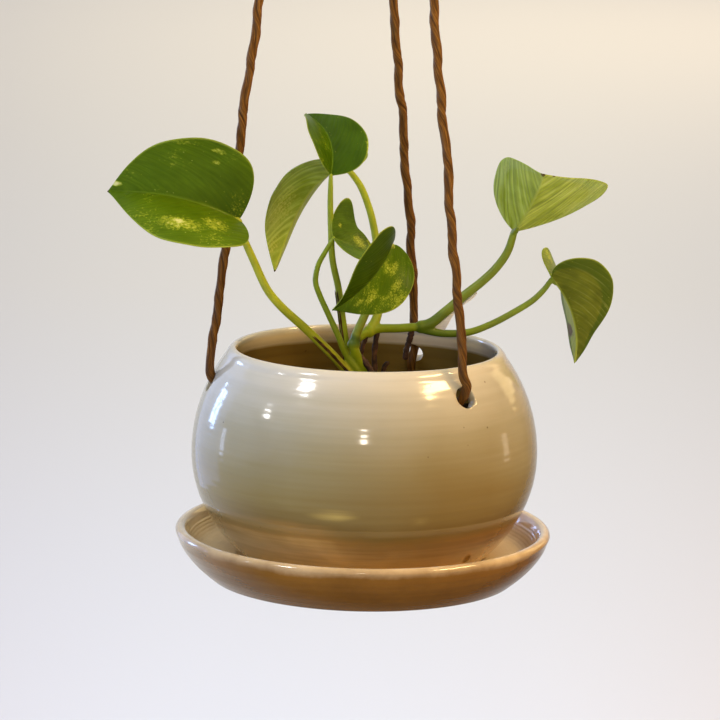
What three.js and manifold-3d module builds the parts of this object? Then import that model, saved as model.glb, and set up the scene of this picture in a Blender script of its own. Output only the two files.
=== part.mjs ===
// A young golden pothos in a hanging globe pot with a saucer fixed under it.
// Millimetres, +Z up. The origin is where a hook bears, inside the top of the hanging loop.
// The pot is drawn first in its own frame: x and y from its axis, z up from the rim's crest.
import * as THREE from "three";
import { mergeVertices } from "three/addons/utils/BufferGeometryUtils.js";
import Module from "manifold-3d";

const wasm = await Module();
wasm.setup();

// Driving sizes
const GAP = 0.3; // left between pieces that meet on curved faces

const POT_RADIUS = 80; // at the waist
const POT_WALL = 6;
const WAIST_DROP = 49; // waist below the rim's crest
const DOME_UP = 77; // half height of the ellipse that shapes the shoulder
const DOME_DOWN = 67; // and of the one that shapes the belly under the waist
const POT_HEIGHT = 97; // from the pot's foot to the rim's crest
const MOUTH_RADIUS = 60;
const POT_FLOOR = 6;
const LATHE_SIDES = 48;

const HOLE_RADIUS = 5.2; // the three cord holes in the shoulder, punched by hand at unlike heights
const CORD_HOLES = {
  left: { angle: 188, drop: 15.5 }, // degrees round the axis from +X, and mm below the rim's crest
  right: { angle: -50.5, drop: 12 },
  back: { angle: 70, drop: 11 },
};
const WEEP_RADIUS = 2.6; // holes that let water run from the pot into the saucer
const WEEP_RISE = 9;
const WEEP_ANGLES = [30, 90, 150];

const SAUCER_RADIUS = 87;
const SAUCER_HEIGHT = 24;
const SAUCER_FLOOR = 11; // height of the floor on which the pot stands
const SAUCER_WALL = 5;
const FOOT_OUTER = 66.5; // foot ring
const FOOT_INNER = 57;
const FOOT_RECESS = 4.5;

const SOIL_DROP = 36; // soil surface below the rim's crest
const SOIL_LUMP = 1.1; // height of its lumps

const CORD_RADIUS = 2.1;
const CORD_SIDES = 8;
const CORD_STEPS = 52;
const TAIL_RADIUS = 65; // where a cord's tail stands in the soil
const TAIL_DROP = 52;
const STOP_KNOT_RADIUS = 5;
const TOP_OFFSET = -6; // the loop hangs this far to the left of the pot's axis
const KNOT_BOTTOM = 352; // the three cords meet here, above the rim's crest
const KNOT_HEIGHT = 24;
const KNOT_RADIUS = 7;
const KNOT_WRAPS = 5;
const LOOP_INSIDE = 22; // from the knot's top to the underside of the loop's crown
const LOOP_WIDTH = 24;

const BLADE_THICKNESS = 0.7;
const BLADE_ROWS = 14;
const BLADE_COLUMNS = 3; // on each side of the midrib
const STALK_SIDES = 8;
const STALK_STEP = 8; // mm along a stalk

// Each leaf: where its blade joins its stalk, its length, its half widths and the place of its widest
// point as shares of that length, and its folds and bends in degrees. The heading is turned from +Y
// towards +X, the pitch rises from level, and the roll lowers the right half.
const LEAVES = {
  a: { at: [-59, -20, 61], length: 64, left: 0.46, right: 0.5, lobe: 0.02, widest: 0.38,
    foldLeft: 40, foldRight: 26, curlLeft: -14, curlRight: 23, droop: 64, bend: 1,
    heading: -117, pitch: 27, roll: -64, twist: 25 },
  b: { at: [-18, 0, 79.5], length: 52, left: 0.31, right: 0.34, lobe: 0, widest: 0.33,
    foldLeft: 28, foldRight: 37, curlLeft: 0, curlRight: 0, droop: 43, bend: -34,
    heading: 11, pitch: 41, roll: 32, twist: 23 },
  c: { at: [-11, 22, 79.5], length: 73, left: 0.4, right: 0.37, lobe: 0.03, widest: 0.41,
    foldLeft: 14, foldRight: 38, curlLeft: -68, curlRight: 27, droop: 111, bend: 31,
    heading: -37, pitch: -5, roll: 26, twist: 7 },
  d: { at: [-16, -2, 51], length: 37, left: 0.57, right: 0.36, lobe: 0.06, widest: 0.24,
    foldLeft: 19, foldRight: 11, curlLeft: 26, curlRight: -2, droop: 0, bend: 3,
    heading: 43, pitch: -22, roll: 45, twist: 27 },
  e: { at: [10.5, -6, 48.5], length: 44, left: 0.42, right: 0.48, lobe: 0.08, widest: 0.37,
    foldLeft: 23, foldRight: 26, curlLeft: 22, curlRight: -22, droop: 52, bend: -4,
    heading: -160, pitch: -42, roll: -86, twist: -8 },
  f: { at: [67.5, 20, 52.5], length: 69, left: 0.57, right: 0.36, lobe: 0.02, widest: 0.4,
    foldLeft: 23, foldRight: 43, curlLeft: 1, curlRight: 15, droop: 8, bend: 12,
    heading: 163, pitch: 33, roll: -11, twist: 4 },
  g: { at: [86, 22, 30.5], length: 54, left: 0.5, right: 0.44, lobe: 0.14, widest: 0.34,
    foldLeft: 52, foldRight: 23, curlLeft: 4, curlRight: 29, droop: 30, bend: -31,
    heading: 50, pitch: -42, roll: -10, twist: 25 },
};

// The stem and the leaf stalks: radius and centreline, from the root end to the free end.
const STEM = { radius: 2.4, line: [[4, 4, -50], [4, 4, -34], [3, 3, -24], [0, 0.5, -13], [-4, -1.5, -5],
  [-6, -2, 2], [-3, 3, 4.5], [1, 7.5, 6], [6, 10, 7], [14, 12, 7], [22, 13, 7.5], [26, 14, 7.5]] };
const STALKS = {
  a: { radius: 2.1, line: [[3, 3, -26], [-2, 0, -18], [-8.5, -3, -11], [-17, -6, -1.5], [-28, -9, 9.5],
    [-39.5, -13, 20.5], [-45.5, -15, 28], [-52.5, -18, 43], [-58, -20, 56], [-59, -20, 61]] },
  b: { radius: 1.7, line: [[3, 3.5, -25], [-4, 5, -19], [-7.5, 5, -12], [-9.5, 5, 0], [-11.5, 5, 13],
    [-13.5, 4, 26.5], [-16.5, 3, 40], [-17.5, 2, 55], [-18, 1, 67.5], [-18, 0, 79.5]] },
  c: { radius: 1.9, line: [[1, 7.5, 6], [4.5, 13, 12], [5.5, 22, 25.5], [4.5, 27, 38], [2, 27, 53],
    [-0.5, 26, 62], [-5, 24, 72.5], [-11, 22, 79.5]] },
  d: { radius: 1.5, line: [[2, 2, -21], [-4, -2, -11], [-9.5, -3, -3], [-13, -4, 5.5], [-18, -4, 16],
    [-22, -4, 24.5], [-24, -4, 30.5], [-23, -3.5, 38], [-19.5, -3, 45], [-16, -2, 51]] },
  e: { radius: 1.9, line: [[-6, -2, 0], [-5, -2, 6], [-2.5, -2, 12], [0, -1, 17.5], [5, 0, 25],
    [9, -0.5, 36], [10.5, -3, 45], [10.5, -6, 48.5]] },
  f: { radius: 2.2, line: [[23, 13.5, 7.5], [29, 14, 9], [36, 15, 14.5], [45, 16, 22.5], [53, 17, 29],
    [59.5, 18, 35.5], [64.5, 19, 43], [67.5, 20, 52.5]] },
  g: { radius: 1.7, line: [[23, 13.5, 7.5], [30, 14, 5.5], [36.5, 15, 4.5], [47.5, 17, 5], [57.5, 19, 8.5],
    [68.5, 20, 14.5], [77, 21, 20], [82.5, 22, 25.5], [86, 22, 30.5]] },
};
// Thickened joints of the stem, where the leaves spring.
const NODES = [
  { at: [-6, -2, 1.5], radius: 3 },
  { at: [1, 7.5, 6], radius: 3 },
  { at: [25, 14, 7.3], radius: 2.9 },
];

// Aerial roots: two end in the air, the others reach the soil.
const ROOTS = {
  root_1: { radius: 1.5, line: [[21, 13, 7], [19.8, 13, 1], [18.6, 13, -3.5], [18, 13, -8]] },
  root_2: { radius: 1.3, line: [[5, 9.5, 6], [4, 9, 0], [3.8, 9.5, -8], [5, 11, -20], [7, 12, -32], [7, 12, -42]] },
  root_3: { radius: 1, line: [[0.5, 6.5, 5], [-1.5, 6, 0], [-2.5, 7, -7], [-2, 8.5, -14], [-1, 9, -19]] },
  root_4: { radius: 1.5, line: [[-3, -1, -4], [-0.5, -1.5, -7], [3, -2, -12], [7, -3, -22], [9, -4, -33], [9, -4, -42]] },
  root_5: { radius: 1.3, line: [[13, 8, -42], [13, 8, -33], [11.5, 8, -24], [8, 8, -15.5], [8.5, 8, -10.5], [10.5, 8, -8]] },
};
const SHEATH = { y: 13.6, thickness: 0.6, outline: [[27, 8], [30.5, 5.8], [35.5, 9.6], [44, 17.5], [51.5, 23.4], [52, 28], [36, 15]] };
const CRUMB = { at: [52, -37], size: [4, 2.4, 1.4] };

// A cord's way through its hole, as [outward, upward] from the hole's centre on the outer face: it hangs down
// inside the wall, rises through the hole and leaves it almost upright.
const THROUGH_HOLE = [[-6, -19], [-6, -10.5], [-5.6, -5.6], [-3.4, -2], [-0.7, 1.6], [0.3, 5.5]];
// And on from the hole to the knot
const CORD_LINES = {
  left: [[-71.5, -10.5, -4], [-69, -10, 15], [-66.5, -9.5, 35], [-64, -9, 55], [-61.5, -8.5, 75],
    [-59.5, -8, 95], [-57, -7.5, 115], [-54.5, -7, 135], [-52, -6, 155], [-46.5, -5.5, 190],
    [-40.5, -4.5, 225], [-33, -3.5, 260], [-23.5, -2, 300], [-12, -1, 338]],
  right: [[43.5, -54.5, -3], [42, -52, 15], [39.5, -49.5, 35], [37.5, -46.5, 55], [35.5, -44, 75],
    [33.5, -41, 95], [31, -38, 115], [29, -35.5, 135], [27, -32.5, 155], [23, -27, 190],
    [18, -21.5, 225], [12.5, -16, 260], [5.5, -9.5, 300], [-2, -4, 338]],
  back: [[23, 66, -2], [22, 63.5, 15], [20.5, 60, 35], [19, 56.5, 55], [17, 53, 75],
    [15, 50, 95], [13, 46.5, 115], [11, 43, 135], [9.5, 39.5, 155], [7, 33, 190],
    [4.5, 26, 225], [2, 19.5, 260], [-1, 12, 300], [-4, 4.5, 338]],
};
const CORDS_APART = 3; // distance of each cord from the knot's axis where they meet it

// Helpers
const radians = THREE.MathUtils.degToRad;

function solidOf(geometry) {
  const bare = geometry.clone();
  bare.deleteAttribute("normal");
  bare.deleteAttribute("uv");
  const merged = mergeVertices(bare, 1e-4);
  const triVerts = new Uint32Array(merged.index.array);
  const vertProperties = new Float32Array(merged.attributes.position.array);
  return new wasm.Manifold(new wasm.Mesh({ numProp: 3, vertProperties, triVerts }));
}

function geometryOf(solid) {
  const mesh = solid.getMesh();
  const geometry = new THREE.BufferGeometry();
  geometry.setAttribute("position", new THREE.BufferAttribute(new Float32Array(mesh.vertProperties), 3));
  geometry.setIndex(new THREE.BufferAttribute(new Uint32Array(mesh.triVerts), 1));
  geometry.computeVertexNormals();
  return geometry;
}

const joined = (solids) => solids.reduce((whole, next) => whole.add(next));

const largestOf = (solid) => solid.decompose().sort((a, b) => b.volume() - a.volume())[0];

// Turned about the Z axis from [radius, height] points that run up the outside and back down the inside.
function turned(profile, sides = LATHE_SIDES) {
  const points = profile.map(([radius, height]) => new THREE.Vector2(radius, height));
  return solidOf(new THREE.LatheGeometry(points, sides).rotateX(Math.PI / 2));
}

function tube(points, radius, sides, steps) {
  const path = new THREE.CatmullRomCurve3(points, false, "centripetal");
  const corners = [];
  for (let i = 0; i < sides; i++) {
    const angle = (2 * Math.PI * i) / sides;
    corners.push(new THREE.Vector2(radius * Math.cos(angle), radius * Math.sin(angle)));
  }
  const settings = { steps, bevelEnabled: false, extrudePath: path };
  return solidOf(new THREE.ExtrudeGeometry(new THREE.Shape(corners), settings));
}

function stalkTube({ radius, line }, grown = 0) {
  const points = line.map((point) => new THREE.Vector3(...point));
  const length = new THREE.CatmullRomCurve3(points, false, "centripetal").getLength();
  return tube(points, radius + grown, STALK_SIDES, Math.round(length / STALK_STEP));
}

function ball([x, y, z], radius, stretch = [1, 1, 1]) {
  const sphere = new THREE.SphereGeometry(radius, 12, 8).rotateX(Math.PI / 2);
  return solidOf(sphere.scale(...stretch).translate(x, y, z));
}

// A point at a radius and height, turned round the pot's axis.
function round(radius, degrees, height) {
  const angle = radians(degrees);
  return new THREE.Vector3(radius * Math.cos(angle), radius * Math.sin(angle), height);
}

// Pot: an ellipse above the waist and another under it
function potRadius(height, widest = POT_RADIUS) {
  const fromWaist = height + WAIST_DROP;
  const reach = fromWaist > 0 ? DOME_UP : DOME_DOWN;
  return widest * Math.sqrt(1 - (fromWaist / reach) ** 2);
}

function heights(from, to, count) {
  return Array.from({ length: count + 1 }, (_, i) => from + ((to - from) * i) / count);
}

const RIM_OUTER_DROP = 3.2; // the rim's round edge starts this far below its crest
const RIM_INNER_DROP = 4.5;
const insideRadius = (height) => potRadius(height, POT_RADIUS - POT_WALL);
const INSIDE_FLOOR = -POT_HEIGHT + POT_FLOOR;

const potOutside = heights(-POT_HEIGHT, -RIM_OUTER_DROP, 13).map((z) => [potRadius(z), z]);
const rimCrest = [[63.4, -1.2], [62.2, -0.25], [61, 0], [60.2, -0.8], [MOUTH_RADIUS, -2.2]];
const potInside = heights(-RIM_INNER_DROP, INSIDE_FLOOR, 10).map((z) => [insideRadius(z), z]);
let pot = turned([[0, -POT_HEIGHT], ...potOutside, ...rimCrest, ...potInside, [0, INSIDE_FLOOR]]);

// A drill square to the wall at a height and an angle
function wallDrill(radius, degrees, height) {
  const drill = new THREE.CylinderGeometry(radius, radius, 6 * POT_WALL, 16);
  const fromWaist = height + WAIST_DROP;
  const reach = fromWaist > 0 ? DOME_UP : DOME_DOWN;
  const lift = Math.atan2(fromWaist / reach ** 2, potRadius(height) / POT_RADIUS ** 2);
  drill.rotateZ(lift - Math.PI / 2).rotateX(Math.PI / 2);
  const centre = round(potRadius(height), degrees, height);
  return solidOf(drill.rotateZ(radians(degrees)).translate(centre.x, centre.y, centre.z));
}
for (const { angle, drop } of Object.values(CORD_HOLES)) pot = pot.subtract(wallDrill(HOLE_RADIUS, angle, -drop));
for (const degrees of WEEP_ANGLES) pot = pot.subtract(wallDrill(WEEP_RADIUS, degrees, WEEP_RISE - POT_HEIGHT));

// Saucer: heights here are from its foot
const FOOT = -POT_HEIGHT - SAUCER_FLOOR;
const flare = (height) => SAUCER_RADIUS - 17 * ((SAUCER_HEIGHT - height) / SAUCER_HEIGHT) ** 2;
const saucerProfile = [
  [0, FOOT_RECESS], [FOOT_INNER - 3, FOOT_RECESS], [FOOT_INNER, 0], [FOOT_OUTER, 0],
  ...heights(1, SAUCER_HEIGHT - 3, 5).map((z) => [flare(z), z]),
  [SAUCER_RADIUS - 0.8, SAUCER_HEIGHT - 0.9], [SAUCER_RADIUS - 2.5, SAUCER_HEIGHT],
  [SAUCER_RADIUS - 4.4, SAUCER_HEIGHT - 0.8], [SAUCER_RADIUS - SAUCER_WALL, SAUCER_HEIGHT - 3],
  ...heights(SAUCER_HEIGHT - 6, SAUCER_FLOOR + 2, 3).map((z) => [flare(z) - SAUCER_WALL - 1, z]),
  [70.5, SAUCER_FLOOR + 0.5], [66, SAUCER_FLOOR], [0, SAUCER_FLOOR],
];
const saucer = turned(saucerProfile.map(([radius, z]) => [radius, z + FOOT]));

// Blade: half an outline is two Bezier curves, from the stalk round the lobe to the widest point, and on
// to the tip. The blade is then folded and curled about its midrib, and bent and twisted along it.
const arcAlong = (rate, s) => (Math.abs(rate) < 1e-6 ? s : Math.sin(rate * s) / rate);
const arcAside = (rate, s) => (Math.abs(rate) < 1e-6 ? 0 : (1 - Math.cos(rate * s)) / rate);

function outlinePoint(leaf, half, t) {
  const { lobe, widest } = leaf;
  const ends = [[0, 0], [0.12 * half, -1.55 * lobe], [half, -1.25 * lobe], [half, widest]];
  const rest = 1 - widest;
  const tip = [[half, widest], [half, widest + 0.42 * rest], [0.3 * half, 1 - 0.3 * rest], [0, 1]];
  const curve = new THREE.CubicBezierCurve(...(t < 0.5 ? ends : tip).map((p) => new THREE.Vector2(...p)));
  return curve.getPoint(t < 0.5 ? 2 * t : 2 * t - 1);
}

// A point of the blade: side is -1 left and 1 right, t runs from the stalk to the tip, u from midrib to edge.
function bladePoint(leaf, side, t, u, grown) {
  const { length } = leaf;
  const [half, fold, curl] = side < 0 ? [leaf.left, leaf.foldLeft, leaf.curlLeft] : [leaf.right, leaf.foldRight, leaf.curlRight];
  const edge = outlinePoint(leaf, half, t);
  const across = edge.x * length * u * (1 + grown / (half * length));
  const along = (length + 2 * grown) * (t ** 1.6 * (1 - u) + edge.y * u) - grown;
  const share = Math.min(Math.max(along / length, 0), 1);
  const start = radians(fold);
  const rate = radians(curl) / (0.36 * length);
  const out = Math.cos(start) * arcAlong(rate, across) - Math.sin(start) * arcAside(rate, across);
  const rise = Math.sin(start) * arcAlong(rate, across) + Math.cos(start) * arcAside(rate, across);
  const twist = radians(leaf.twist) * share;
  const sideways = side * out * Math.cos(twist) - rise * Math.sin(twist);
  const upward = side * out * Math.sin(twist) + rise * Math.cos(twist);
  const droop = radians(leaf.droop);
  const bend = radians(leaf.bend);
  const ribX = (length * (arcAside(droop + bend, share) + arcAside(bend - droop, share))) / 2;
  const ribY = along < 0 ? along : (length * (arcAlong(droop + bend, share) + arcAlong(droop - bend, share))) / 2;
  const ribZ = -length * arcAside(droop, share);
  const tilt = droop * share;
  return new THREE.Vector3(ribX + sideways, ribY + upward * Math.sin(tilt), ribZ + upward * Math.cos(tilt));
}

// The leaf's own axes: right, forward and up
function leafAxes({ at, heading, pitch, roll }) {
  const [h, p, r] = [heading, pitch, roll].map(radians);
  const forward = new THREE.Vector3(Math.cos(p) * Math.sin(h), Math.cos(p) * Math.cos(h), Math.sin(p));
  const level = new THREE.Vector3(Math.cos(h), -Math.sin(h), 0);
  const above = level.clone().cross(forward);
  const right = level.clone().multiplyScalar(Math.cos(r)).addScaledVector(above, -Math.sin(r));
  return new THREE.Matrix4().makeBasis(right, forward, right.clone().cross(forward)).setPosition(...at);
}

// A closed blade: the same net of points on its upper and its lower face, joined round the edge.
function blade(leaf, grown = 0) {
  const placed = leafAxes(leaf);
  const at = (row, column) => {
    const t = row / BLADE_ROWS;
    const u = Math.abs(column) / BLADE_COLUMNS;
    return bladePoint(leaf, column < 0 ? -1 : 1, t, u, grown).applyMatrix4(placed);
  };
  const normal = (row, column) => {
    const step = (r, c) => at(Math.min(Math.max(r, 0), BLADE_ROWS), Math.min(Math.max(c, -BLADE_COLUMNS), BLADE_COLUMNS));
    const nearRow = Math.min(Math.max(row, 1), BLADE_ROWS - 1);
    const along = step(nearRow + 1, column).sub(step(nearRow - 1, column));
    const across = step(nearRow, column + 1).sub(step(nearRow, column - 1));
    return across.cross(along).normalize();
  };
  const positions = [];
  const put = (point) => positions.push(point.x, point.y, point.z) / 3 - 1;
  const faces = [1, -1].map((face) => {
    const offset = face * (BLADE_THICKNESS / 2 + grown);
    const net = [];
    for (let row = 0; row <= BLADE_ROWS; row++) {
      const single = row === 0 || row === BLADE_ROWS; // the stalk's end and the tip are one point
      const line = [];
      for (let column = -BLADE_COLUMNS; column <= BLADE_COLUMNS; column++) {
        if (single && column > -BLADE_COLUMNS) line.push(line[0]);
        else line.push(put(at(row, single ? 0 : column).addScaledVector(normal(row, single ? 0 : column), offset)));
      }
      net.push(line);
    }
    return net;
  });
  const triangles = [];
  const add = (a, b, c, flip) => {
    if (a !== b && b !== c && a !== c) triangles.push(...(flip ? [a, c, b] : [a, b, c]));
  };
  const last = 2 * BLADE_COLUMNS;
  for (let row = 0; row < BLADE_ROWS; row++) {
    faces.forEach((net, under) => {
      for (let k = 0; k < last; k++) {
        add(net[row][k], net[row][k + 1], net[row + 1][k + 1], under);
        add(net[row][k], net[row + 1][k + 1], net[row + 1][k], under);
      }
    });
    const [top, bottom] = faces;
    for (const [k, flip] of [[0, true], [last, false]]) {
      add(top[row][k], bottom[row][k], bottom[row + 1][k], flip);
      add(top[row][k], bottom[row + 1][k], top[row + 1][k], flip);
    }
  }
  const geometry = new THREE.BufferGeometry();
  geometry.setAttribute("position", new THREE.Float32BufferAttribute(positions, 3));
  geometry.setIndex(triangles);
  return solidOf(geometry);
}

// Vine: stem, joints and stalks grown as one, cut back a little under each blade
function vineSolid(grown = 0) {
  return joined([
    stalkTube(STEM, grown),
    ...NODES.map(({ at, radius }) => ball(at, radius + grown)),
    ...Object.values(STALKS).map((stalk) => stalkTube(stalk, grown)),
  ]);
}
const blades = Object.fromEntries(Object.entries(LEAVES).map(([letter, leaf]) => [letter, blade(leaf)]));
let vine = vineSolid();
for (const leaf of Object.values(LEAVES)) vine = vine.subtract(blade(leaf, GAP));
vine = largestOf(vine);
const aroundVine = vineSolid(GAP);

const roots = Object.fromEntries(
  Object.entries(ROOTS).map(([name, root]) => [name, largestOf(stalkTube(root).subtract(aroundVine))]),
);

// The dried sheath under the stalk of leaf F, cut to the stalk's round
const sheathShape = new THREE.Shape(SHEATH.outline.map(([x, z]) => new THREE.Vector2(x, z)));
const sheathSheet = new THREE.ExtrudeGeometry(sheathShape, { depth: SHEATH.thickness, bevelEnabled: false });
sheathSheet.rotateX(Math.PI / 2).translate(0, SHEATH.y, 0);
const sheathLean = new THREE.Matrix4().makeShear(0, 0, 0.11, 0, 0, 0); // it follows the stalk away from the front
const sheath = largestOf(solidOf(sheathSheet.applyMatrix4(sheathLean)).subtract(aroundVine));

// Cords: up from the soil, out through the hole and on to the gathering knot
const tailFoot = (angle) => round(TAIL_RADIUS, angle, -TAIL_DROP);
function cordPath(side) {
  const { angle, drop } = CORD_HOLES[side];
  const through = THROUGH_HOLE.map(([out, up]) => round(potRadius(-drop) + out, angle, up - drop));
  const line = CORD_LINES[side].map((point) => new THREE.Vector3(...point));
  const meeting = round(CORDS_APART, angle, 0);
  const top = [KNOT_BOTTOM - GAP - 4, KNOT_BOTTOM - GAP].map((z) => new THREE.Vector3(meeting.x + TOP_OFFSET, meeting.y, z));
  return [tailFoot(angle), ...through, ...line, ...top];
}
const cordTube = (side, grown = 0) => tube(cordPath(side), CORD_RADIUS + grown, CORD_SIDES, CORD_STEPS);
const CORD_SIDE_NAMES = Object.keys(CORD_HOLES);
function stopKnot(side, grown = 0) {
  const centre = tailFoot(CORD_HOLES[side].angle);
  return ball([centre.x, centre.y, centre.z - GAP - STOP_KNOT_RADIUS], STOP_KNOT_RADIUS + grown);
}

// Gathering knot: a wrapped barrel with a loop of the same cord
const wrapHeight = KNOT_HEIGHT / KNOT_WRAPS;
const knotSide = [];
for (let wrap = 0; wrap < KNOT_WRAPS; wrap++) {
  const low = KNOT_BOTTOM + wrap * wrapHeight;
  knotSide.push([KNOT_RADIUS - 1, low], [KNOT_RADIUS, low + wrapHeight / 2]);
}
const KNOT_TOP = KNOT_BOTTOM + KNOT_HEIGHT;
const knotBarrel = turned([[0, KNOT_BOTTOM], ...knotSide, [KNOT_RADIUS - 1, KNOT_TOP], [0, KNOT_TOP]], 16);
const loopHalf = LOOP_WIDTH / 2 - CORD_RADIUS;
const loopSide = [[2.8, -6], [3.4, 2], [0.75 * loopHalf, 8], [loopHalf, 14], [0.72 * loopHalf, LOOP_INSIDE - 1.5]];
const loopLine = [
  ...loopSide.map(([x, z]) => [-x, z]),
  [0, LOOP_INSIDE + CORD_RADIUS],
  ...loopSide.reverse(),
].map(([x, z]) => new THREE.Vector3(x, 0, KNOT_TOP + z));
const hangingKnot = knotBarrel.add(tube(loopLine, CORD_RADIUS, CORD_SIDES, 28)).translate([TOP_OFFSET, 0, 0]);

// Soil: fills the pot, with a lumpy surface and plain holes for all that stands in it
function soilLump(x, y) {
  return SOIL_LUMP * (Math.sin(0.31 * x + 0.8) * Math.cos(0.27 * y) + 0.5 * Math.sin(0.7 * x - 0.5 * y) * Math.cos(0.6 * y + 1));
}
const SOIL_TOP = -SOIL_DROP;
const soilSide = heights(INSIDE_FLOOR + GAP, SOIL_TOP, 6).map((z) => [insideRadius(z) - GAP - 0.1, z]);
const soilSurface = [66, 56, 46, 36, 26, 16, 7].map((radius) => [radius, SOIL_TOP]);
const soilProfile = [[0, INSIDE_FLOOR + GAP], ...soilSide, ...soilSurface, [0, SOIL_TOP]];
const soilLathe = new THREE.LatheGeometry(soilProfile.map((p) => new THREE.Vector2(...p)), 28).rotateX(Math.PI / 2);
const soilPositions = soilLathe.attributes.position;
for (let i = 0; i < soilPositions.count; i++) {
  const [x, y, z] = [soilPositions.getX(i), soilPositions.getY(i), soilPositions.getZ(i)];
  if (z > SOIL_TOP - 0.01 && Math.hypot(x, y) < 70) soilPositions.setZ(i, SOIL_TOP + soilLump(x, y));
}
let soil = solidOf(soilLathe).subtract(aroundVine);
for (const root of Object.values(ROOTS)) soil = soil.subtract(stalkTube(root, GAP));
for (const side of CORD_SIDE_NAMES) {
  soil = soil.subtract(cordTube(side, GAP)).subtract(stopKnot(side, 3 * GAP)); // the pocket opens into the cord's hole
}

// Materials
const finish = (color, roughness, metalness = 0) => new THREE.MeshStandardMaterial({ color, roughness, metalness });
const creamGlaze = finish("#cdbf95", 0.15);
const amberGlaze = finish("#8a5f30", 0.2);
const pottingSoil = finish("#3a2a1c", 1);
const greenStalk = finish("#7f9324", 0.45);
const greenLeaf = finish("#44690f", 0.3);
const brownRoot = finish("#4a3326", 0.8);
const paperySheath = finish("#d8cfb4", 0.7);
const brownCord = finish("#7a4420", 0.7);

// The object
const object = new THREE.Group();
const hung = new THREE.Group(); // the pot's frame, moved so that the loop's crown is at the origin
hung.position.set(-TOP_OFFSET, 0, -(KNOT_TOP + LOOP_INSIDE));
object.add(hung);

function piece(name, solid, material) {
  const mesh = new THREE.Mesh(geometryOf(solid), material);
  mesh.name = name;
  hung.add(mesh);
}

piece("pot", pot, creamGlaze);
piece("saucer", saucer, amberGlaze);
piece("soil", soil, pottingSoil);
piece("vine", vine, greenStalk);
for (const [letter, solid] of Object.entries(blades)) piece(`leaf_${letter}`, solid, greenLeaf);
for (const [name, solid] of Object.entries(roots)) piece(name, solid, brownRoot);
piece("leaf_sheath", sheath, paperySheath);
piece("soil_crumb", ball([...CRUMB.at, SAUCER_FLOOR + FOOT + CRUMB.size[2] + GAP], 1, CRUMB.size), pottingSoil);
for (const side of CORD_SIDE_NAMES) piece(`cord_${side}`, cordTube(side), brownCord);
for (const side of CORD_SIDE_NAMES) piece(`stop_knot_${side}`, stopKnot(side), brownCord);
piece("hanging_knot", hangingKnot, brownCord);

export default object;
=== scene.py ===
# A young golden pothos in a hanging globe pot with a saucer fixed under it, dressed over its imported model.
# Shapes are made in millimetres in the pot's own frame: x and y from its axis, z up from the rim's crest.
# place() turns them into metres in the row's frame, whose origin is under the crown of the hanging loop.
import math

import bpy
import numpy as np
from mathutils import Matrix, Vector


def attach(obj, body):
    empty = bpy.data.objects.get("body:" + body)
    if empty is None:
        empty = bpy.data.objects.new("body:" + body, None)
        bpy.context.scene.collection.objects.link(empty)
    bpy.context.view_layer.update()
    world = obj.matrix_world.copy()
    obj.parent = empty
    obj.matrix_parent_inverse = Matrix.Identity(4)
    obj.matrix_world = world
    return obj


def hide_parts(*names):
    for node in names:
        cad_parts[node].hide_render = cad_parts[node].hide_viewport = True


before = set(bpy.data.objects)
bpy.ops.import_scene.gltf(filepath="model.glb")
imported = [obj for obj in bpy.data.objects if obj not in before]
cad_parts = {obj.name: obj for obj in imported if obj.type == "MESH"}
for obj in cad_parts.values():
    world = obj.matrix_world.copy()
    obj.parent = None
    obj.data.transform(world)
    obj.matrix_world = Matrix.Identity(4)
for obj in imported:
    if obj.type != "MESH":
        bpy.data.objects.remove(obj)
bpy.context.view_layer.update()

# Camera: level with the leaves and a little above the rim, far enough off that the pot's sides run almost
# parallel, as through a long lens.
POT_AT = (6, 0, -398)  # mm, the pot's own frame in the row's frame
PICTURE, FOCAL_PIXELS, SENSOR = 720, 3470.7, 36  # pixels, pixels, mm
DISTANCE = 1.6
ELEVATION, ROLL = math.radians(10.55), math.radians(1.2)
AIM = (-2.9, 0, -6.1)


def place(points):
    """Points in the row's frame in metres, from points in the pot's frame in millimetres."""
    return (np.asarray(points, float) + POT_AT) / 1000


back = Vector((0, -math.cos(ELEVATION), math.sin(ELEVATION)))
level = Vector((1, 0, 0))
axis_x = level * math.cos(ROLL) + back.cross(level) * math.sin(ROLL)
camera = bpy.data.objects.new("camera", bpy.data.cameras.new("camera"))
camera.data.sensor_width = SENSOR
camera.data.lens = FOCAL_PIXELS / PICTURE * SENSOR
camera.data.clip_end = 100
camera.matrix_world = Matrix((axis_x, back.cross(axis_x), back)).transposed().to_4x4()
camera.location = Vector(place(AIM)) + back * DISTANCE
bpy.context.collection.objects.link(camera)
bpy.context.scene.camera = camera

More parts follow.
